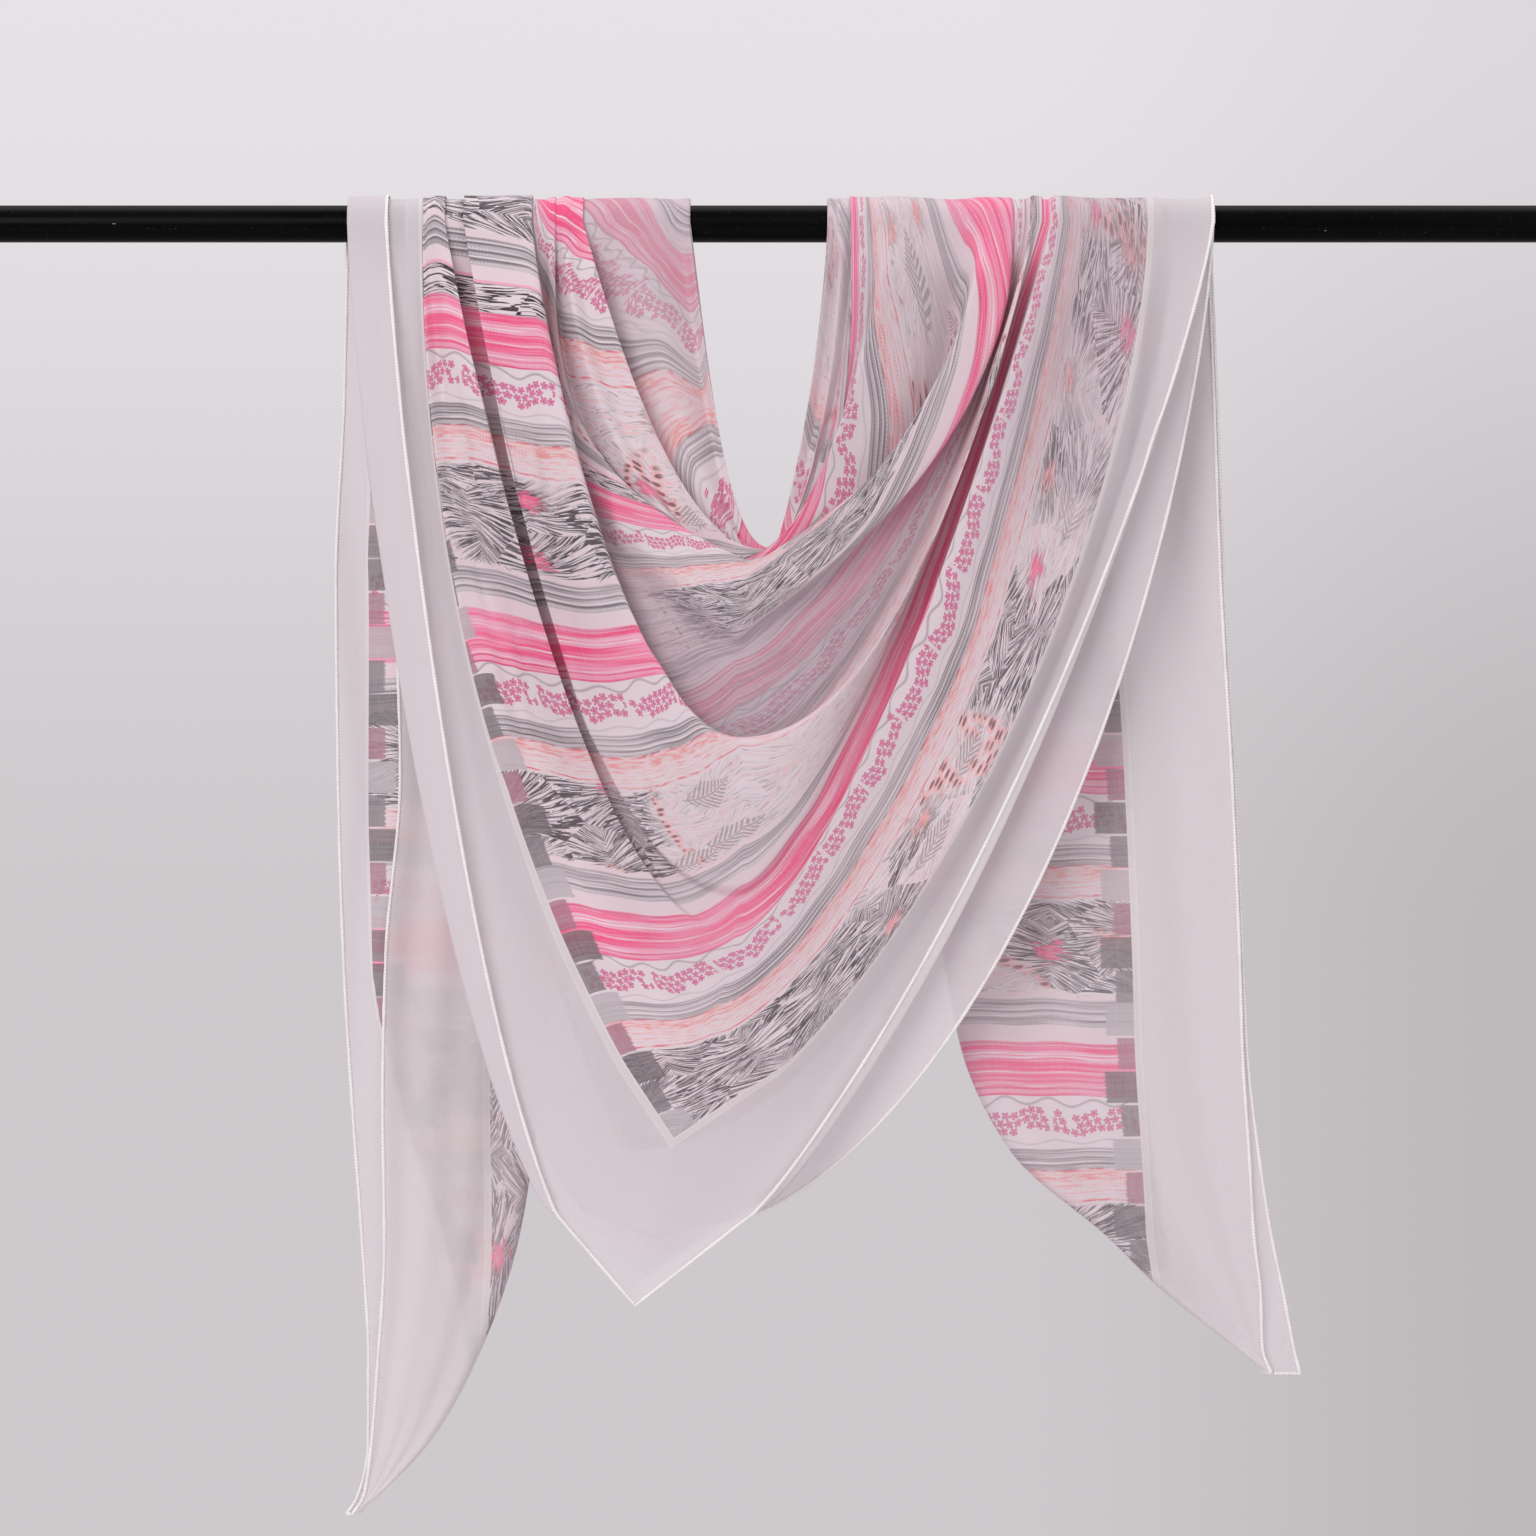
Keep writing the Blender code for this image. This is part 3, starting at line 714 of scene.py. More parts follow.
def grid_faces(rows, columns, flip):
    """Quads of a grid of points. flip turns their front to the other side."""
    index = np.arange(rows * columns).reshape(rows, columns)
    quads = np.stack([index[:-1, :-1], index[1:, :-1], index[1:, 1:], index[:-1, 1:]], axis=2)
    quads = quads.reshape(-1, 4)
    return (quads[:, ::-1] if flip else quads).tolist()


def tube_faces(rings, sides):
    """Quads round a row of rings of points, and a face on each end."""
    faces = []
    for i in range(rings - 1):
        for k in range(sides):
            a, b = i * sides + k, i * sides + (k + 1) % sides
            faces.append((a, b, b + sides, a + sides))
    faces.append(tuple(reversed(range(sides))))
    faces.append(tuple(range((rings - 1) * sides, rings * sides)))
    return faces


def add_values(item, name, x, y, z):
    """Stores three values at each point of a mesh."""
    layer = item.data.attributes.new(name, "FLOAT_VECTOR", "POINT")
    values = np.stack([np.ravel(x), np.ravel(y), np.ravel(z)], axis=1)
    layer.data.foreach_set("vector", values.astype(np.float32).ravel())


def cloth_sheet(name, grid, places, faded, shade, ink, flip):
    """A mesh of the cloth, with what its print needs at each point.

    drawing holds u with the bands' slow bends, the lean of the strokes, and how dense the drawn
    bands are. folds holds how worn the print is, its duller back side in painted shade, and its
    painted shade, which is painted light below zero.
    """
    rows, columns = grid.shape[:2]
    item = add_mesh(name, grid.reshape(-1, 3), grid_faces(rows, columns, flip), places.reshape(-1, 2))
    u, v = places[..., 0], places[..., 1]
    wide_bend = (slow_change(u, v, 125, 71, seed=3) - 0.5) * 5
    small_bend = (slow_change(u, v, 70, 23, seed=11) - 0.5) * 4.5
    lean = slow_change(u, v, 60, 85, seed=7)
    # Denser now and then along the bands, in the first drawn band and near the corner.
    zone = slow_change(u, v, 62, 70, seed=2) + 0.1 * np.cos((v - 110) * 2 * np.pi / 420)
    zone = zone + 0.12 * np.clip((130 - u) / 12, 0, 1)
    zone = zone + 0.08 * np.clip((210 - v) / 50, 0, 1) + ink
    worn = slow_change(u, v, 26, 75, seed=5)
    add_values(item, "drawing", (u + wide_bend + small_bend) * MM, lean, zone)
    add_values(item, "folds", worn, np.full_like(u, faded), np.full_like(u, shade))
    return item


def rolled_hem(name, line, radius, sides=7):
    """A thin roll along an edge, a little uneven, with closed ends."""
    step = np.gradient(line, axis=0)
    step /= np.linalg.norm(step, axis=1, keepdims=True)
    across = np.cross(step, np.array([0.0, 1.0, 0.0]))
    across /= np.linalg.norm(across, axis=1, keepdims=True)
    other = np.cross(step, across)
    run = np.concatenate([[0], np.cumsum(np.linalg.norm(np.diff(line, axis=0), axis=1))])
    size = radius * (1 + 0.1 * np.sin(run / 7.3) + 0.08 * np.sin(run / 2.9 + 1.3))
    angle = np.linspace(0, 2 * np.pi, sides, endpoint=False)
    ring = across[:, None] * np.cos(angle)[:, None] + other[:, None] * np.sin(angle)[:, None]
    points = line[:, None] + ring * size[:, None, None]
    places = np.repeat(np.stack([run, np.zeros_like(run)], 1), sides, axis=0)
    return add_mesh(name, points.reshape(-1, 3), tube_faces(len(line), sides), places)


class Signal:
    """A socket that adds Math nodes when it is used in a Python expression."""

    def __init__(self, shader, socket):
        self.shader = shader
        self.socket = socket

    def math(self, operation, *values):
        """A Math node with these numbers or signals."""
        return self.shader.add("ShaderNodeMath", {"operation": operation}, dict(enumerate(values)))

    def __add__(self, other):
        return self.math("ADD", self, other)

    def __radd__(self, other):
        return self.math("ADD", other, self)

    def __sub__(self, other):
        return self.math("SUBTRACT", self, other)

    def __rsub__(self, other):
        return self.math("SUBTRACT", other, self)

    def __mul__(self, other):
        return self.math("MULTIPLY", self, other)

    def __rmul__(self, other):
        return self.math("MULTIPLY", other, self)

    def __truediv__(self, other):
        return self.math("DIVIDE", self, other)

    def __rtruediv__(self, other):
        return self.math("DIVIDE", other, self)

    def __mod__(self, other):
        return self.math("FLOORED_MODULO", self, other)

    def __gt__(self, other):
        return self.math("GREATER_THAN", self, other)

    def __lt__(self, other):
        return self.math("LESS_THAN", self, other)

    def __abs__(self):
        return self.math("ABSOLUTE", self)

    def wave(self, length, start=0.0):
        """Sine of this distance, for waves of this length, from -1 to 1."""
        return (self * (2 * math.pi / length) + start).math_of("SINE")

    def math_of(self, operation, *more):
        """A Math node whose first value is this one."""
        return self.math(operation, self, *more)

    def output(self, index):
        """Another output of the same node."""
        return Signal(self.shader, self.socket.node.outputs[index])

    def lookup(self, stops, blend="LINEAR"):
        """Colour of a ramp at this value. Its second output is what the stops hold as alpha."""
        return self.shader.add("ShaderNodeValToRGB", {"stops": stops, "blend": blend}, {0: self})

    def ramp(self, low, high, start=0.0, end=1.0):
        """Smooth step from start to end as this goes from low to high."""
        return self.shader.add(
            "ShaderNodeMapRange",
            {"interpolation_type": "SMOOTHSTEP"},
            {"Value": self, "From Min": low, "From Max": high, "To Min": start, "To Max": end},
        )

    def band(self, low, high, soft=0.3):
        """1 between low and high, with soft edges."""
        return self.ramp(low - soft, low + soft) * self.ramp(high - soft, high + soft, 1.0, 0.0)


class Shader:
    """Adds nodes to a node tree. Any node comes from add()."""

    def __init__(self, tree):
        self.tree = tree
        tree.nodes.clear()

    def add(self, kind, settings=None, values=None, output=0):
        """A node of this type: its settings are set first, then its sockets' values or links."""
        node = self.tree.nodes.new(kind)
        for name, value in (settings or {}).items():
            if name == "stops":
                self.set_stops(node.color_ramp, value)
            elif name == "blend":
                node.color_ramp.interpolation = value
            else:
                setattr(node, name, value)
        for key, value in (values or {}).items():
            if isinstance(value, Signal):
                self.tree.links.new(value.socket, node.inputs[key])
            else:
                node.inputs[key].default_value = value
        return Signal(self, node.outputs[output]) if len(node.outputs) else None

    @staticmethod
    def set_stops(ramp, stops):
        """Fills a ramp from (position, colour) pairs in order."""
        while len(ramp.elements) > 1:
            ramp.elements.remove(ramp.elements[-1])
        ramp.elements[0].position, ramp.elements[0].color = stops[0]
        for position, colour in stops[1:]:
            ramp.elements.new(position).color = colour

    def mix(self, factor, first, second, blend="MIX"):
        """One colour over another by a factor."""
        return self.add(
            "ShaderNodeMix",
            {"data_type": "RGBA", "blend_type": blend},
            {0: factor, 6: first, 7: second},
            output=2,
        )

    def vector(self, x, y, z=0.0):
        """A vector of three numbers."""
        return self.add("ShaderNodeCombineXYZ", None, {0: x, 1: y, 2: z})

    def parts(self, vector):
        """The three numbers of a vector."""
        first = self.add("ShaderNodeSeparateXYZ", None, {0: vector})
        return first, first.output(1), first.output(2)

    def noise(self, place, scale=1.0, detail=2.0, rough=0.5, flat=False):
        """Noise at this place, over two dimensions if flat."""
        return self.add(
            "ShaderNodeTexNoise",
            {"noise_dimensions": "2D" if flat else "3D"},
            {"Vector": place, "Scale": scale, "Detail": detail, "Roughness": rough},
        )

    def cells(self, place, spread=1.0):
        """Distance to the nearest of scattered points. Its next outputs are a random colour and
        the point's place."""
        return self.add(
            "ShaderNodeTexVoronoi",
            {"voronoi_dimensions": "2D"},
            {"Vector": place, "Scale": 1.0, "Randomness": spread},
        )

    def bump(self, height, strength, distance):
        """A normal from a height. The distance is in metres."""
        values = {"Strength": strength, "Distance": distance, "Height": height}
        return self.add("ShaderNodeBump", None, values)

    def principled(self, values):
        """The main surface shader."""
        return self.add("ShaderNodeBsdfPrincipled", None, values)

    def spot(self):
        """Place on the object, in metres."""
        return self.add("ShaderNodeTexCoord", None, None, output=3)

    def finish_surface(self, surface):
        """Ends the material with this surface."""
        self.add("ShaderNodeOutputMaterial", None, {"Surface": surface})


def new_material(name):
    """An empty material and the shader that fills it."""
    material = bpy.data.materials.new(name)
    material.use_nodes = True
    return material, Shader(material.node_tree)


class ClothPrint:
    """The print's colours, worked out from the flat cloth place."""

    def __init__(self, shader, look):
        self.shader = shader
        self.look = look
        self.margin = look.margin_width * TO_MM
        self.tints = {
            "rose": tuple(look.rose), "light": tuple(look.rose_light), "ink": tuple(look.ink),
            "deep": ROSE_DEEP, "white": WHITE, "smoke": SMOKE, "line": SMOKE_DARK, "pale": PALE,
            "blush": BLUSH, "peach": PEACH, "coral": CORAL,
        }
        u, v, _ = shader.parts(shader.add("ShaderNodeUVMap", {"uv_map": "cloth"}))
        self.u, self.v = u * TO_MM, v * TO_MM
        bent, self.lean, self.zone = self.stored("drawing")
        self.bent_u = bent * TO_MM
        self.worn, self.faded, self.shade = self.stored("folds")
        past = self.bent_u > EXTRA_START + EXTRA_WIDTH
        self.total = sum(width for _, width in BANDS)
        self.place = (self.bent_u - past * EXTRA_WIDTH - PRINT_START) % self.total
        self.fine = shader.noise(
            shader.vector(self.bent_u / 1.7, self.v / 70.0), detail=1.5, rough=0.6, flat=True
        )
        self.dash = shader.noise(
            shader.vector(self.bent_u / 1.2 + 40.0, self.v / 11.0), detail=1.0, rough=0.6, flat=True
        )
        self.beads = self.v.wave(BEAD_LENGTH).ramp(-0.3, 0.3)

    def stored(self, name):
        """The three values that the mesh stores under this name."""
        values = self.shader.add("ShaderNodeAttribute", {"attribute_name": name}, None, output=1)
        return self.shader.parts(values)

    def edges(self, *names):
        """Where bands that follow each other begin and end."""
        low, found = 0.0, []
        for band, width in BANDS:
            if band in names:
                found += [low, low + width]
            low += width
        return found[0], found[-1]

    def rows(self, table):
        """Ramp stops from a table of lines."""
        return [(share, self.tints[tint][:3] + (dots,)) for share, tint, dots in table]

    def masks(self, *groups):
        """Where each of up to three groups of bands lies."""
        stops, low = [], 0.0
        for band, width in BANDS:
            level = tuple(float(band in group) for group in groups) + (0.0,) * (3 - len(groups))
            for place in (low + 0.35, low + width - 0.35):
                stops.append((place / self.total, level + (1.0,)))
            low += width
        return self.shader.parts((self.place / self.total).lookup(stops))

    def ground(self):
        """Flat colour of each band."""
        colours = {"rose": ROSE, "smoke": SMOKE, "lace": SMOKE, "blush": BLUSH, "line": BLUSH}
        stops, low = [], 0.0
        for name, width in BANDS:
            tint = colours.get(name, PALE)
            stops += [((low + 0.25) / self.total, tint), ((low + width - 0.25) / self.total, tint)]
            low += width
        return (self.place / self.total).lookup(stops)

    def lined(self, colour, inside, names, table, bead_tint):
        """Lines and rows of beads across a band."""
        low, high = self.edges(*names)
        lines = ((self.place - low) / (high - low)).lookup(self.rows(table))
        colour = self.shader.mix(inside, colour, lines)
        return self.shader.mix(inside * lines.output(1) * self.beads * 0.75, colour, bead_tint)

    def bands(self, colour):
        """The pink, grey and peach bands, with their lines."""
        shader = self.shader
        rose, smoke, lace = self.masks(("rose",), ("smoke",), ("lace",))
        peach, _, _ = self.masks(("rim", "peach"))
        white = self.tints["white"]
        worn = self.worn.ramp(0.4, 0.62)
        colour = self.lined(colour, rose, ("rose",), ROSE_ROWS, white)
        streak = self.fine.ramp(0.46, 0.62) * 0.55 + worn * 0.35
        colour = shader.mix(rose * streak, colour, self.look.rose_light)
        colour = shader.mix(rose * self.fine.ramp(0.36, 0.44, 0.7, 0.0), colour, self.look.rose)
        for inside, name in ((smoke, "smoke"), (lace, "lace")):
            colour = self.lined(colour, inside, (name,), GREY_ROWS, white)
        grey = smoke + lace
        colour = shader.mix(grey * worn * 0.35, colour, PALE)
        colour = shader.mix(grey * self.fine.ramp(0.5, 0.64) * 0.5, colour, SMOKE_DARK)
        colour = self.lined(colour, peach, ("rim", "peach"), PEACH_ROWS, CORAL)
        colour = shader.mix(peach * self.dash.ramp(0.44, 0.58, 0.75, 0.0), colour, PALE)
        return shader.mix(peach * self.dash.ramp(0.6, 0.68) * 0.2, colour, CORAL)

    def scroll(self, colour):
        """Thin soft grey waves."""
        low, high = self.edges("wave")
        bend = self.v.wave(27.0, 0.6) * 2.3 + self.v.wave(71.0)
        off = abs(self.place - (low + high) / 2 - bend)
        colour = self.shader.mix(off.ramp(0.3, 1.3, 0.5, 0.0), colour, SMOKE_DARK)
        low, high = self.edges("pale")
        off = abs(self.place - (low + high) / 2 - self.v.wave(33.0, 2.0) * 1.5)
        return self.shader.mix(off.ramp(0.2, 1.0, 0.25, 0.0), colour, SMOKE_DARK)

    def garland(self, colour):
        """Staggered rows of small five-petalled flowers, in clusters."""
        shader = self.shader
        low, high = self.edges("garland")
        pitch, row_pitch, cluster = 5.4, 4.6, 47.0
        sway = self.v.wave(cluster) * 2.4 + self.v.wave(19.0, 1.0) * 0.8
        across = self.place - (low + high) / 2 - sway + row_pitch * 1.5
        row = (across / row_pitch).math_of("FLOOR")
        along = self.v + row * pitch * 0.37
        cell = (along / pitch).math_of("FLOOR")
        random = shader.add("ShaderNodeTexWhiteNoise", {"noise_dimensions": "2D"},
                            {"Vector": shader.vector(row, cell)}, output=1)
        shift_x, shift_y, chance = shader.parts(random)
        x = across - (row + 0.5) * row_pitch + (shift_x - 0.5) * 0.7
        y = along - (cell + 0.5) * pitch + (shift_y - 0.5) * 0.9
        radius = (x * x + y * y).math_of("SQRT")
        lobe = abs((x.math_of("ARCTAN2", y) * 2.5 + shift_x * 6.0).math_of("COSINE"))
        edge = lobe * 1.35 + 1.3 - radius
        rows = (abs(row - 1.0) < 1.5) * (chance > abs(row - 1.0) * 0.12 + 0.01)
        inside = rows * self.v.wave(cluster, 2.2).ramp(-1.0, -0.97)
        colour = shader.mix(inside * edge.ramp(-0.25, 0.15) * 0.95, colour, self.look.magenta)
        inner = edge.ramp(0.5, 0.85) * radius.ramp(0.5, 0.85)
        return shader.mix(inside * inner * 0.62, colour, PETAL)

    def drawn(self, colour):
        """Generic strokes that fan out from scattered tufts, leaf sprays, seeds and a narrow band."""
        shader, look = self.shader, self.look
        wide, long = 34.0, 58.0
        flat = shader.vector(self.u / wide, self.v / long)
        near = shader.cells(flat)
        kind, slant, chance = shader.parts(near.output(1))
        ends = {0: flat, 1: near.output(2)}
        off = shader.add("ShaderNodeVectorMath", {"operation": "SUBTRACT"}, ends)
        x, y, _ = shader.parts(off)
        lean = x + y * (slant - 0.5) * 1.3 + (self.lean - 0.5) * 0.5
        fan = lean / (abs(y) + 0.36) * 15.0 + kind * 90.0
        narrow = self.bent_u.band(EXTRA_START, EXTRA_START + EXTRA_WIDTH, 0.5)
        fan = fan + narrow * (self.u / 1.9 + (self.lean - 0.5) * 12.0 - fan)
        run = self.v / 30.0 + chance * 30.0
        stroke = shader.noise(shader.vector(fan, run), detail=1.0, flat=True)
        tone = stroke.lookup(self.rows(STROKE_ROWS))
        low, high = self.edges("sprig")
        inside = (self.place + (stroke - 0.5) * 9.0).band(low + 0.5, high - 1.0, 0.7)
        dense = (self.zone * 0.8 + chance * 0.2).ramp(0.46, 0.56)
        light = inside * (1.0 - dense)
        colour = shader.mix(light * stroke.band(0.5, 0.55, 0.02) * 0.55, colour, SMOKE_DARK)
        colour = shader.mix(light * stroke.ramp(0.6, 0.66) * 0.5, colour, PEACH)
        colour = self.leaf_spray(colour, light * (kind > 0.45), x * wide, y * long)
        colour = shader.mix(inside * dense * 0.93, colour, tone)
        colour = self.seeds(colour, inside * self.zone.band(0.39, 0.45, 0.015))
        rough = near + (self.dash - 0.5) * 0.55
        tuft = inside * rough.ramp(0.1, 0.16, 0.9, 0.0)
        ring = inside * rough.band(0.12, 0.18, 0.03) * (kind < 0.4)
        grain = self.dash.ramp(0.45, 0.6)
        colour = shader.mix(ring * 0.6, colour, look.ink)
        bud, bloom = tuft * (abs(kind - 0.28) < 0.12), tuft * (kind < 0.16)
        colour = shader.mix(bud, colour, shader.mix(grain, PEACH, CORAL))
        colour = shader.mix(bloom, colour, shader.mix(grain, look.rose, look.rose_light))
        zebra = shader.mix(stroke.band(0.455, 0.6, 0.015), PALE, look.ink)
        colour = shader.mix(narrow, colour, zebra)
        edge = self.bent_u.band(EXTRA_START + EXTRA_WIDTH, EXTRA_START + EXTRA_WIDTH + 1.6, 0.4)
        return shader.mix(edge * 0.8, colour, look.rose_light)

    def leaf_spray(self, colour, inside, x, y):
        """A stem with slanting leaves on both sides."""
        half_length, pitch = 27.0, 4.6
        stem = abs(x - y * y * 0.006)
        slant = (y - stem * 1.15) % pitch
        reach = (half_length - abs(y)) * 0.42
        leaf = abs(slant - pitch / 2).ramp(0.9, 1.5, 1.0, 0.0)
        leaf = leaf * stem.ramp(0.6, 1.2) * (reach - stem).ramp(-0.5, 1.0)
        spine = stem.ramp(0.35, 0.7, 1.0, 0.0) * reach.ramp(0.0, 1.0)
        return self.shader.mix(inside * (leaf + spine) * 0.6, colour, SMOKE_DARK)

    def seeds(self, colour, inside):
        """Dark ovals on a peach ground."""
        shader = self.shader
        flat = shader.vector(self.u / 4.6 + self.lean * 6.0, self.v / 13.0)
        near = shader.cells(flat, spread=0.6)
        colour = shader.mix(inside * near.ramp(0.42, 0.52, 0.85, 0.0), colour, PEACH)
        return shader.mix(inside * near.ramp(0.22, 0.3, 0.85, 0.0), colour, SEED)

    def side_blocks(self, colour):
        """The column of blocks beside the two sides that cross the bands."""
        depth = self.v.math_of("MINIMUM", SIDE - self.v) - self.margin
        kinds = ((10.5, SMOKE_DARK), (19.0, SLATE), (10.5, MAUVE), (17.0, SMOKE))
        widest, repeat, half = 25.0, len(kinds) * BLOCK_PITCH, BLOCK_PITCH / 2
        cycle = self.u % repeat
        # A stop's last number is how far its block reaches, as a share of the widest.
        stops = [
            (k / len(kinds), tint[:3] + (reach / widest,)) for k, (reach, tint) in enumerate(kinds)
        ]
        block = (cycle / repeat).lookup(stops, "CONSTANT")
        reach = block.output(1) * widest
        cover = (reach - depth + (self.dash - 0.5) * 3.0).ramp(-0.8, 0.8) * (depth > 0.0)
        gap = abs(cycle % BLOCK_PITCH - half).ramp(half - 0.9, half - 0.5, 1.0, 0.0)
        return self.shader.mix(cover * gap * 0.85, colour, block)

    def hem_distance(self):
        """Distance to the nearest side of the square."""
        near_u = self.u.math_of("MINIMUM", SIDE - self.u)
        near_v = self.v.math_of("MINIMUM", SIDE - self.v)
        return near_u.math_of("MINIMUM", near_v)

    def dusk(self, colour):
        """The print where a fold shows its duller back side in painted shade, with a few lines left.
        """
        lines = self.fine.ramp(0.5, 0.6) * 0.5
        gaps = self.fine.ramp(0.36, 0.44, 0.5, 0.0)
        colour = self.shader.mix(self.faded * 0.8, colour, DUSK)
        colour = self.shader.mix(self.faded * lines, colour, DUSK_DARK)
        return self.shader.mix(self.faded * gaps, colour, DUSK_LIGHT)

    def colours(self):
        """Colour, how much of the cloth is inked, and the white border."""
        shader, look = self.shader, self.look
        colour = self.bands(self.ground())
        colour = self.garland(self.scroll(colour))
        colour = self.dusk(self.side_blocks(self.drawn(colour)))
        edge, inner = self.hem_distance(), self.margin
        outer = inner - look.border_width * TO_MM
        printed = edge.ramp(inner - 0.3, inner + 0.3)
        border = edge.band(outer, inner, 0.35)
        rims = border * 0.35 + edge.band(outer, outer + 0.7, 0.25) * 0.5
        rims = rims + edge.band(inner - 0.9, inner, 0.25) * 0.5
        cloth = shader.mix(rims, look.cloth_colour, HEM_COLOUR)
        # Painted light where the shade is below zero, towards the hem's colour and the pale ground.
        light = (self.shade * -1.0).ramp(0.0, 1.0)
        cloth = shader.mix(light, cloth, HEM_COLOUR)
        colour = shader.mix(light * 0.6, colour, PALE)
        colour = shader.mix(printed, cloth, colour)
        # Painted shade of the folds, multiplied into the colour.
        return shader.mix(self.shade.ramp(0.0, 1.0), colour, SHADE, "MULTIPLY"), printed, border


def cloth_material(look):
    """Sheer printed cloth: colour, cover, weave, and the light that passes through."""
    material, shader = new_material("sheer_print")
    design = ClothPrint(shader, look)
    colour, printed, border = design.colours()
    warp = shader.noise(shader.vector(design.u * 1.3, design.v * 0.07), detail=0.0, flat=True)
    weft = shader.noise(shader.vector(design.u * 0.07, design.v * 1.3), detail=0.0, flat=True)
    threads = (warp + weft) * 0.5
    slub = threads.ramp(0.35, 0.65)
    cover = printed * (look.ink_cover - look.margin_cover) + look.margin_cover + border * 0.06
    surface = shader.principled({
        "Base Color": shader.mix(slub * 0.12, colour, THREAD),
        "Roughness": 0.88,
        "Sheen Weight": 0.1,
        "Sheen Roughness": 0.5,
        "Specular IOR Level": 0.2,
        "Alpha": (cover + (slub - 0.5) * 0.03).math_of("MINIMUM", 1.0),
        "Normal": shader.bump(threads, strength=0.3, distance=0.0004),
    })
    through = shader.add("ShaderNodeBsdfTranslucent", None, {"Color": THROUGH})
    # Plain cloth lets more light through than printed cloth.
    share = printed * -0.12 + 0.24
    shader.finish_surface(shader.add("ShaderNodeMixShader", None, {0: share, 1: surface, 2: through}))
    return material


def hem_material(look):
    """Tightly rolled edge with whipped stitches."""
    material, shader = new_material("rolled_hem")
    place = shader.add("ShaderNodeUVMap", {"uv_map": "cloth"})
    run = shader.parts(place)[0] * TO_MM
    stitch = run.wave(STITCH_LENGTH).ramp(-0.6, 0.9)
    patch = shader.noise(shader.spot(), scale=45.0)
    colour = shader.mix(stitch * 0.25, look.hem_colour, STITCH)
    colour = shader.mix(patch.ramp(0.4, 0.7) * 0.25, colour, HEM_PATCH)
    shader.finish_surface(shader.principled({
        "Base Color": colour,
        "Roughness": 0.7,
        "Sheen Weight": 0.1,
        "Normal": shader.bump(stitch, strength=0.5, distance=0.0003),
    }))
    return material


def rod_material(look):
    """Black gloss paint with fine scuffs, dust and a few chips down to the wood."""
    material, shader = new_material("black_gloss_paint")
    spot = shader.spot()
    along, side, high = shader.parts(spot)
    cloudy = shader.noise(shader.vector(along * 6.0, side * 60.0, high * 60.0), detail=3.0)
    chip = shader.noise(
        shader.vector(along * 55.0, side * 160.0, high * 160.0), detail=3.0, rough=0.7
    ).ramp(0.735, 0.76)
    dust = shader.noise(spot, scale=900.0, detail=1.0).ramp(0.72, 0.78)
    colour = shader.mix(cloudy.ramp(0.4, 0.7) * 0.5, look.paint, RUBBED)
    colour = shader.mix(dust * 0.12, colour, DUST)
    colour = shader.mix(chip * 0.85, colour, WOOD)
    shader.finish_surface(shader.principled({
        "Base Color": colour,
        "Roughness": cloudy.ramp(0.3, 0.7, 0.2, 0.32) + chip * 0.4,
        "Specular IOR Level": 0.05,
        "Normal": shader.bump(cloudy - chip, strength=0.25, distance=0.0003),
    }))
    return material


class KhimarClothSettings(bpy.types.PropertyGroup):
    """Sizes and colours of the scarf."""

    margin_width: bpy.props.FloatProperty(
        name="Margin", description="Plain cloth between the hem and the print",
        default=0.0648, min=0.0, max=0.2, unit="LENGTH", subtype="DISTANCE",
    )
    border_width: bpy.props.FloatProperty(
        name="White border", description="White line round the print",
        default=0.0045, min=0.0, max=0.02, unit="LENGTH", subtype="DISTANCE",
    )
    hem_radius: bpy.props.FloatProperty(
        name="Hem roll", description="Half the thickness of the rolled hem",
        default=0.00105, min=0.0003, max=0.003, unit="LENGTH", subtype="DISTANCE",
    )
    margin_cover: bpy.props.FloatProperty(
        name="Margin cover", description="How much of the light the plain cloth stops",
        default=0.81, min=0.1, max=1.0, subtype="FACTOR",
    )
    ink_cover: bpy.props.FloatProperty(
        name="Print cover", description="How much of the light the printed cloth stops",
        default=0.95, min=0.1, max=1.0, subtype="FACTOR",
    )
    cloth_colour: bpy.props.FloatVectorProperty(
        name="Cloth", description="Colour of the plain cloth", subtype="COLOR", size=4,
        default=CLOTH_COLOUR, min=0.0, max=1.0,
    )
    hem_colour: bpy.props.FloatVectorProperty(
        name="Hem", description="Colour of the rolled hem", subtype="COLOR", size=4,
        default=HEM_COLOUR, min=0.0, max=1.0,
    )
    rose: bpy.props.FloatVectorProperty(
        name="Pink", description="Strong pink of the print", subtype="COLOR", size=4,
        default=ROSE, min=0.0, max=1.0,
    )
    rose_light: bpy.props.FloatVectorProperty(
        name="Light pink", description="Light pink of the print", subtype="COLOR", size=4,
        default=ROSE_LIGHT, min=0.0, max=1.0,
    )
    magenta: bpy.props.FloatVectorProperty(
        name="Flowers", description="Colour of the small flowers", subtype="COLOR", size=4,
        default=MAGENTA, min=0.0, max=1.0,
    )
    ink: bpy.props.FloatVectorProperty(
        name="Dark strokes", description="Colour of the dark strokes", subtype="COLOR", size=4,
        default=INK, min=0.0, max=1.0,
    )


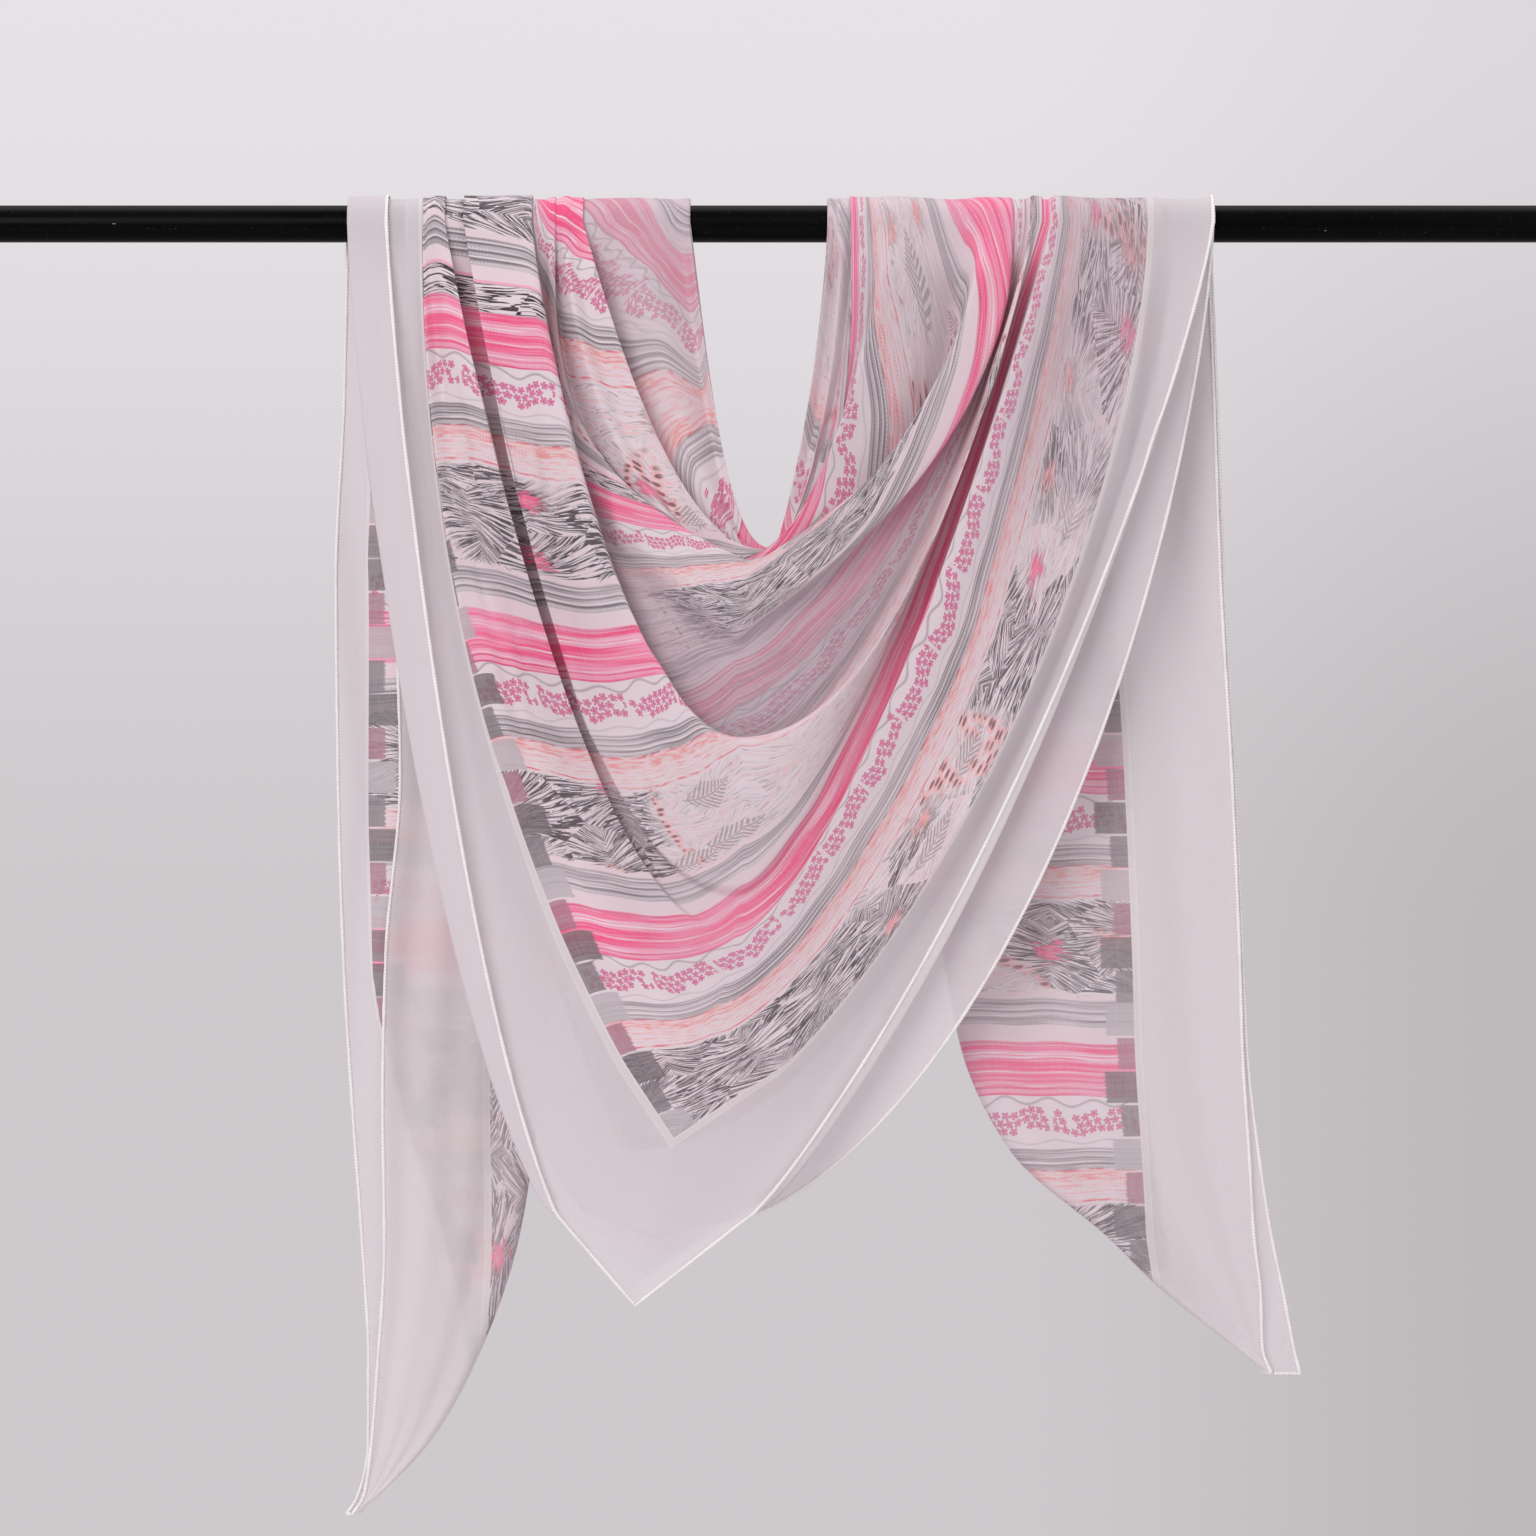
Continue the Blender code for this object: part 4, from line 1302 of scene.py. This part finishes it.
class KhimarRodSettings(bpy.types.PropertyGroup):
    """Size and colour of the rod."""

    radius: bpy.props.FloatProperty(
        name="Radius", description="Half the rod's diameter", default=(rod_high[2] - rod_low[2]) / 2,
        min=0.005, max=0.05, unit="LENGTH", subtype="DISTANCE",
    )
    length: bpy.props.FloatProperty(
        name="Length", description="Length of the rod", default=rod_high[0] - rod_low[0],
        min=0.1, max=3.0, unit="LENGTH", subtype="DISTANCE",
    )
    chamfer: bpy.props.FloatProperty(
        name="Chamfer", description="Chamfer at each end", default=0.0008,
        min=0.0, max=0.005, unit="LENGTH", subtype="DISTANCE",
    )
    paint: bpy.props.FloatVectorProperty(
        name="Paint", description="Colour of the paint", subtype="COLOR", size=4,
        default=PAINT, min=0.0, max=1.0,
    )


class KhimarStudioSettings(bpy.types.PropertyGroup):
    """Floor, light and camera."""

    floor_height: bpy.props.FloatProperty(
        name="Floor height", description="Height of the floor, from the rod's axis", default=-1.5,
        min=-3.0, max=-0.9, unit="LENGTH", subtype="DISTANCE",
    )
    floor_radius: bpy.props.FloatProperty(
        name="Floor radius", description="Radius of the round floor", default=3.0,
        min=1.0, max=6.0, unit="LENGTH", subtype="DISTANCE",
    )
    camera_distance: bpy.props.FloatProperty(
        name="Camera distance", description="From the camera to the rod's axis", default=3.6,
        min=1.0, max=10.0, unit="LENGTH", subtype="DISTANCE",
    )
    camera_height: bpy.props.FloatProperty(
        name="Camera height", description="Height of the camera from the rod's axis", default=-0.3264,
        min=-1.0, max=1.0, unit="LENGTH", subtype="DISTANCE",
    )
    view_width: bpy.props.FloatProperty(
        name="View width", description="Width of the view at the rod", default=0.9216,
        min=0.2, max=3.0, unit="LENGTH", subtype="DISTANCE",
    )
    key_power: bpy.props.FloatProperty(
        name="Key light", description="Power of the large soft light", default=69.0,
        min=0.0, max=500.0, unit="POWER",
    )


def make_ride(item, nodes=()):
    """Ties a piece to the part's one body, and hides the solids it stands for."""
    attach(item, "root")
    if nodes:
        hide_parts(*nodes)


def shared_material(name, make, look):
    """The material of this name, made once."""
    return bpy.data.materials.get(name) or make(look)


class KHIMAR_OT_rod(bpy.types.Operator):
    """Build the painted rod"""

    bl_idname = "khimar.rod"
    bl_label = "Rod"

    def execute(self, context):
        look = context.scene.khimar_rod
        sides, middle_rings = 96, 60
        half, radius, chamfer = look.length / 2 / MM, look.radius / MM, look.chamfer / MM
        # Rings close to each edge of the chamfer keep it crisp under smooth shading.
        end = ((0.0, radius - chamfer - 0.3), (0.0, radius - chamfer), (chamfer, radius),
               (chamfer + 0.4, radius))
        rings = [(x - half, r) for x, r in end]
        rings += [(x, radius) for x in np.linspace(-half + 20, half - 20, middle_rings)]
        rings += [(half - x, r) for x, r in reversed(end)]
        angle = np.linspace(0, 2 * np.pi, sides, endpoint=False)
        points = [(x, r * math.cos(a), r * math.sin(a)) for x, r in rings for a in angle]
        item = add_mesh("painted_rod", points, tube_faces(len(rings), sides))
        item.data.materials.append(rod_material(look))
        make_ride(item, ["rod"])
        return {"FINISHED"}


def add_cloth(name, grid, places, look, node, edge, flat, flip=False, faded=0.0,
              shade=0.0, ink=0.0):
    """A cloth piece with its rolled hem, riding on the part and standing for its solid.

    edge is the line of points that the hem follows, and flat the sheet's two lengths, which are
    rounded to metres but not used after that.
    """
    item = cloth_sheet(name, grid, places, faded, shade, ink, flip)
    item.data.materials.append(shared_material("sheer_print", cloth_material, look))
    make_ride(item, [node])
    hem = rolled_hem(f"{name}_hem_0", edge, look.hem_radius / MM)
    hem.data.materials.append(shared_material("rolled_hem", hem_material, look))
    make_ride(hem)
    flat = tuple(round(float(length) * MM, 3) for length in flat)


class KHIMAR_OT_front(bpy.types.Operator):
    """Build the two layers of the front"""

    bl_idname = "khimar.front"
    bl_label = "Front"

    def execute(self, context):
        look = context.scene.khimar_cloth
        grid, at = front_grid(FRONT_OUTER, OUTER_RADIUS, OUTER_THREADS)
        places = front_print(PRINT_OUTER, at, OUTER_RADIUS)
        edge = OUTER_ROWS.index("print_edge") * OUTER_THREADS
        count_v(grid, places, edge)
        hide_blocks(grid, places, edge)
        shade = front_shade(grid, at)
        grid = crease(grid, CREASES)
        add_cloth("front_outer_cloth", grid, places, look, "front_outer", grid[-1],
                  FLAT_OUTER, faded=fold_tones(DULL_AND_SHADE_ROWS, at), shade=shade,
                  ink=fold_tones(INK_TONES, at))
        grid, at = front_grid(FRONT_INNER, INNER_RADIUS, INNER_THREADS)
        places = front_print(PRINT_INNER, at, INNER_RADIUS)
        add_cloth("front_inner_cloth", grid, places, look, "front_inner", grid[-1],
                  FLAT_INNER, flip=True)
        return {"FINISHED"}


class KHIMAR_OT_tails(bpy.types.Operator):
    """Build the two layers of each tail"""

    bl_idname = "khimar.tails"
    bl_label = "Tails"

    def execute(self, context):
        look = context.scene.khimar_cloth
        for side, table in (("left", LEFT_TAIL), ("right", RIGHT_TAIL)):
            rows = smooth_rows(table, np.linspace(0, len(table) - 1, TAIL_LEVELS + 1))
            self.near_layer(look, side, rows)
            self.back_layer(look, side, rows)
        return {"FINISHED"}

    def near_layer(self, look, side, rows):
        """The layer that faces the viewer, folded back at its inner edge."""
        grid, reach, tip = tail_grid(near_section, rows)
        place = [SIDE - reach, tip + TAIL_START[side]]
        places = np.stack(place if side == "left" else place[::-1], axis=2)
        add_cloth(f"{side}_tail_near", grid, places, look, f"{side}_tail_inner",
                  grid[:, 0],
                  (reach.max(), tip.max()), flip=side == "left", shade=TAIL_SHADE[side],
                  ink=TAIL_INK[side])

    def back_layer(self, look, side, rows):
        """The layer at the back, whose margin shows beside the near layer's hem."""
        grid, reach, tip = tail_grid(back_section, rows)
        margin = look.margin_width / MM
        border = rows[:, 8][:, None]
        depth = np.where(reach < border, reach * margin / border, margin + reach - border)
        place = [SIDE - tip, depth]
        places = np.stack(place if side == "left" else place[::-1], axis=2)
        add_cloth(f"{side}_tail_back", grid, places, look, f"{side}_tail_outer",
                  np.concatenate([grid[:, 0], grid[-1, 1:]]),
                  (reach.max(), tip.max()), flip=side == "right")


def area_light(name, place, target, size, power):
    """A soft light of this size and power, turned to its target."""
    data = bpy.data.lights.new(name, "AREA")
    data.shape = "RECTANGLE"
    data.size, data.size_y = size
    data.energy = power
    item = bpy.data.objects.new(name, data)
    bpy.context.scene.collection.objects.link(item)
    item.location = place
    away = np.array(place) - np.array(target)
    item.rotation_euler = (
        math.atan2(math.hypot(away[0], away[1]), away[2]), 0.0, math.atan2(away[0], -away[1])
    )


class KHIMAR_OT_studio(bpy.types.Operator):
    """Set up the floor, the light and the camera"""

    bl_idname = "khimar.studio"
    bl_label = "Studio"

    def execute(self, context):
        look = context.scene.khimar_studio
        self.floor(look)
        self.world(context.scene)
        middle = (0.0, 0.0, -0.33)
        area_light("key_light", (-1.7, -3.0, 1.0), middle, (2.6, 2.0), look.key_power)
        area_light("fill_light", (2.6, -2.4, 0.2), middle, (2.4, 2.4), look.key_power * 0.32)
        area_light("top_light", (0.0, 0.4, 1.8), (0.0, 0.0, 0.0), (2.4, 1.4), look.key_power * 0.3)
        self.camera(context.scene, look)
        context.scene.view_settings.view_transform = "Standard"
        return {"FINISHED"}

    def floor(self, look):
        """A round pale floor well below the cloth."""
        angle = np.linspace(0, 2 * np.pi, 96, endpoint=False)
        points = [(math.cos(a) * look.floor_radius / MM, math.sin(a) * look.floor_radius / MM,
                   look.floor_height / MM) for a in angle]
        item = add_mesh("floor", points, [tuple(range(len(points)))], smooth=False)
        material, shader = new_material("pale_floor")
        patch = shader.noise(shader.spot(), scale=3.0, detail=3.0)
        colour = shader.mix(patch, FLOOR_LIGHT, FLOOR_DARK)
        shader.finish_surface(shader.principled({"Base Color": colour, "Roughness": 0.6}))
        item.data.materials.append(material)

    def world(self, scene):
        """Soft light from all round, a little darker low down and to one side."""
        world = bpy.data.worlds.new("studio")
        world.use_nodes = True
        scene.world = world
        shader = Shader(world.node_tree)
        way = shader.add("ShaderNodeTexCoord", None, None, output=0)
        across, _, height = shader.parts(way)
        seen = height.ramp(-0.03, 0.13)
        aside = across.ramp(0.03, 0.135)
        colour = shader.mix(seen, SKY_LOW, SKY_HIGH)
        colour = shader.mix(aside * (0.18 - seen * 0.085), colour, BLACK)
        direct = shader.add("ShaderNodeLightPath", None, None, output=0)
        strength = direct * 0.32 + 0.68
        surface = shader.add("ShaderNodeBackground", None, {0: colour, 1: strength})
        shader.add("ShaderNodeOutputWorld", None, {"Surface": surface})

    def camera(self, scene, look):
        """A camera level with the middle of the cloth, looking straight at it."""
        data = bpy.data.cameras.new("camera")
        data.sensor_width = 36.0
        data.lens = data.sensor_width * look.camera_distance / look.view_width
        item = bpy.data.objects.new("camera", data)
        scene.collection.objects.link(item)
        item.location = (0.0, -look.camera_distance, look.camera_height)
        item.rotation_euler = (math.radians(90), 0.0, 0.0)
        scene.camera = item


class KHIMAR_PT_panel(bpy.types.Panel):
    """Lists the pieces and their settings"""

    bl_idname = "KHIMAR_PT_panel"
    bl_label = "Khimar"
    bl_space_type = "VIEW_3D"
    bl_region_type = "UI"
    bl_category = "Khimar"

    def draw(self, context):
        layout = self.layout
        for operator in OPERATORS:
            layout.operator(operator.bl_idname)
        for name, group in SETTINGS:
            box = layout.box()
            for key in group.__annotations__:
                box.prop(getattr(context.scene, name), key)


SETTINGS = (
    ("khimar_cloth", KhimarClothSettings),
    ("khimar_rod", KhimarRodSettings),
    ("khimar_studio", KhimarStudioSettings),
)
OPERATORS = (KHIMAR_OT_studio, KHIMAR_OT_rod, KHIMAR_OT_front, KHIMAR_OT_tails)
CLASSES = tuple(group for name, group in SETTINGS) + OPERATORS + (KHIMAR_PT_panel,)


def register():
    """Adds the add-on's classes and settings."""
    for item in CLASSES:
        bpy.utils.register_class(item)
    for name, group in SETTINGS:
        setattr(bpy.types.Scene, name, bpy.props.PointerProperty(type=group))


def unregister():
    """Takes them away again."""
    for name, _ in SETTINGS:
        delattr(bpy.types.Scene, name)
    for item in reversed(CLASSES):
        bpy.utils.unregister_class(item)


def main():
    """Builds the studio and each piece in order."""
    register()
    bpy.ops.khimar.studio()
    bpy.ops.khimar.rod()
    bpy.ops.khimar.front()
    bpy.ops.khimar.tails()


if __name__ == "__main__":
    main()
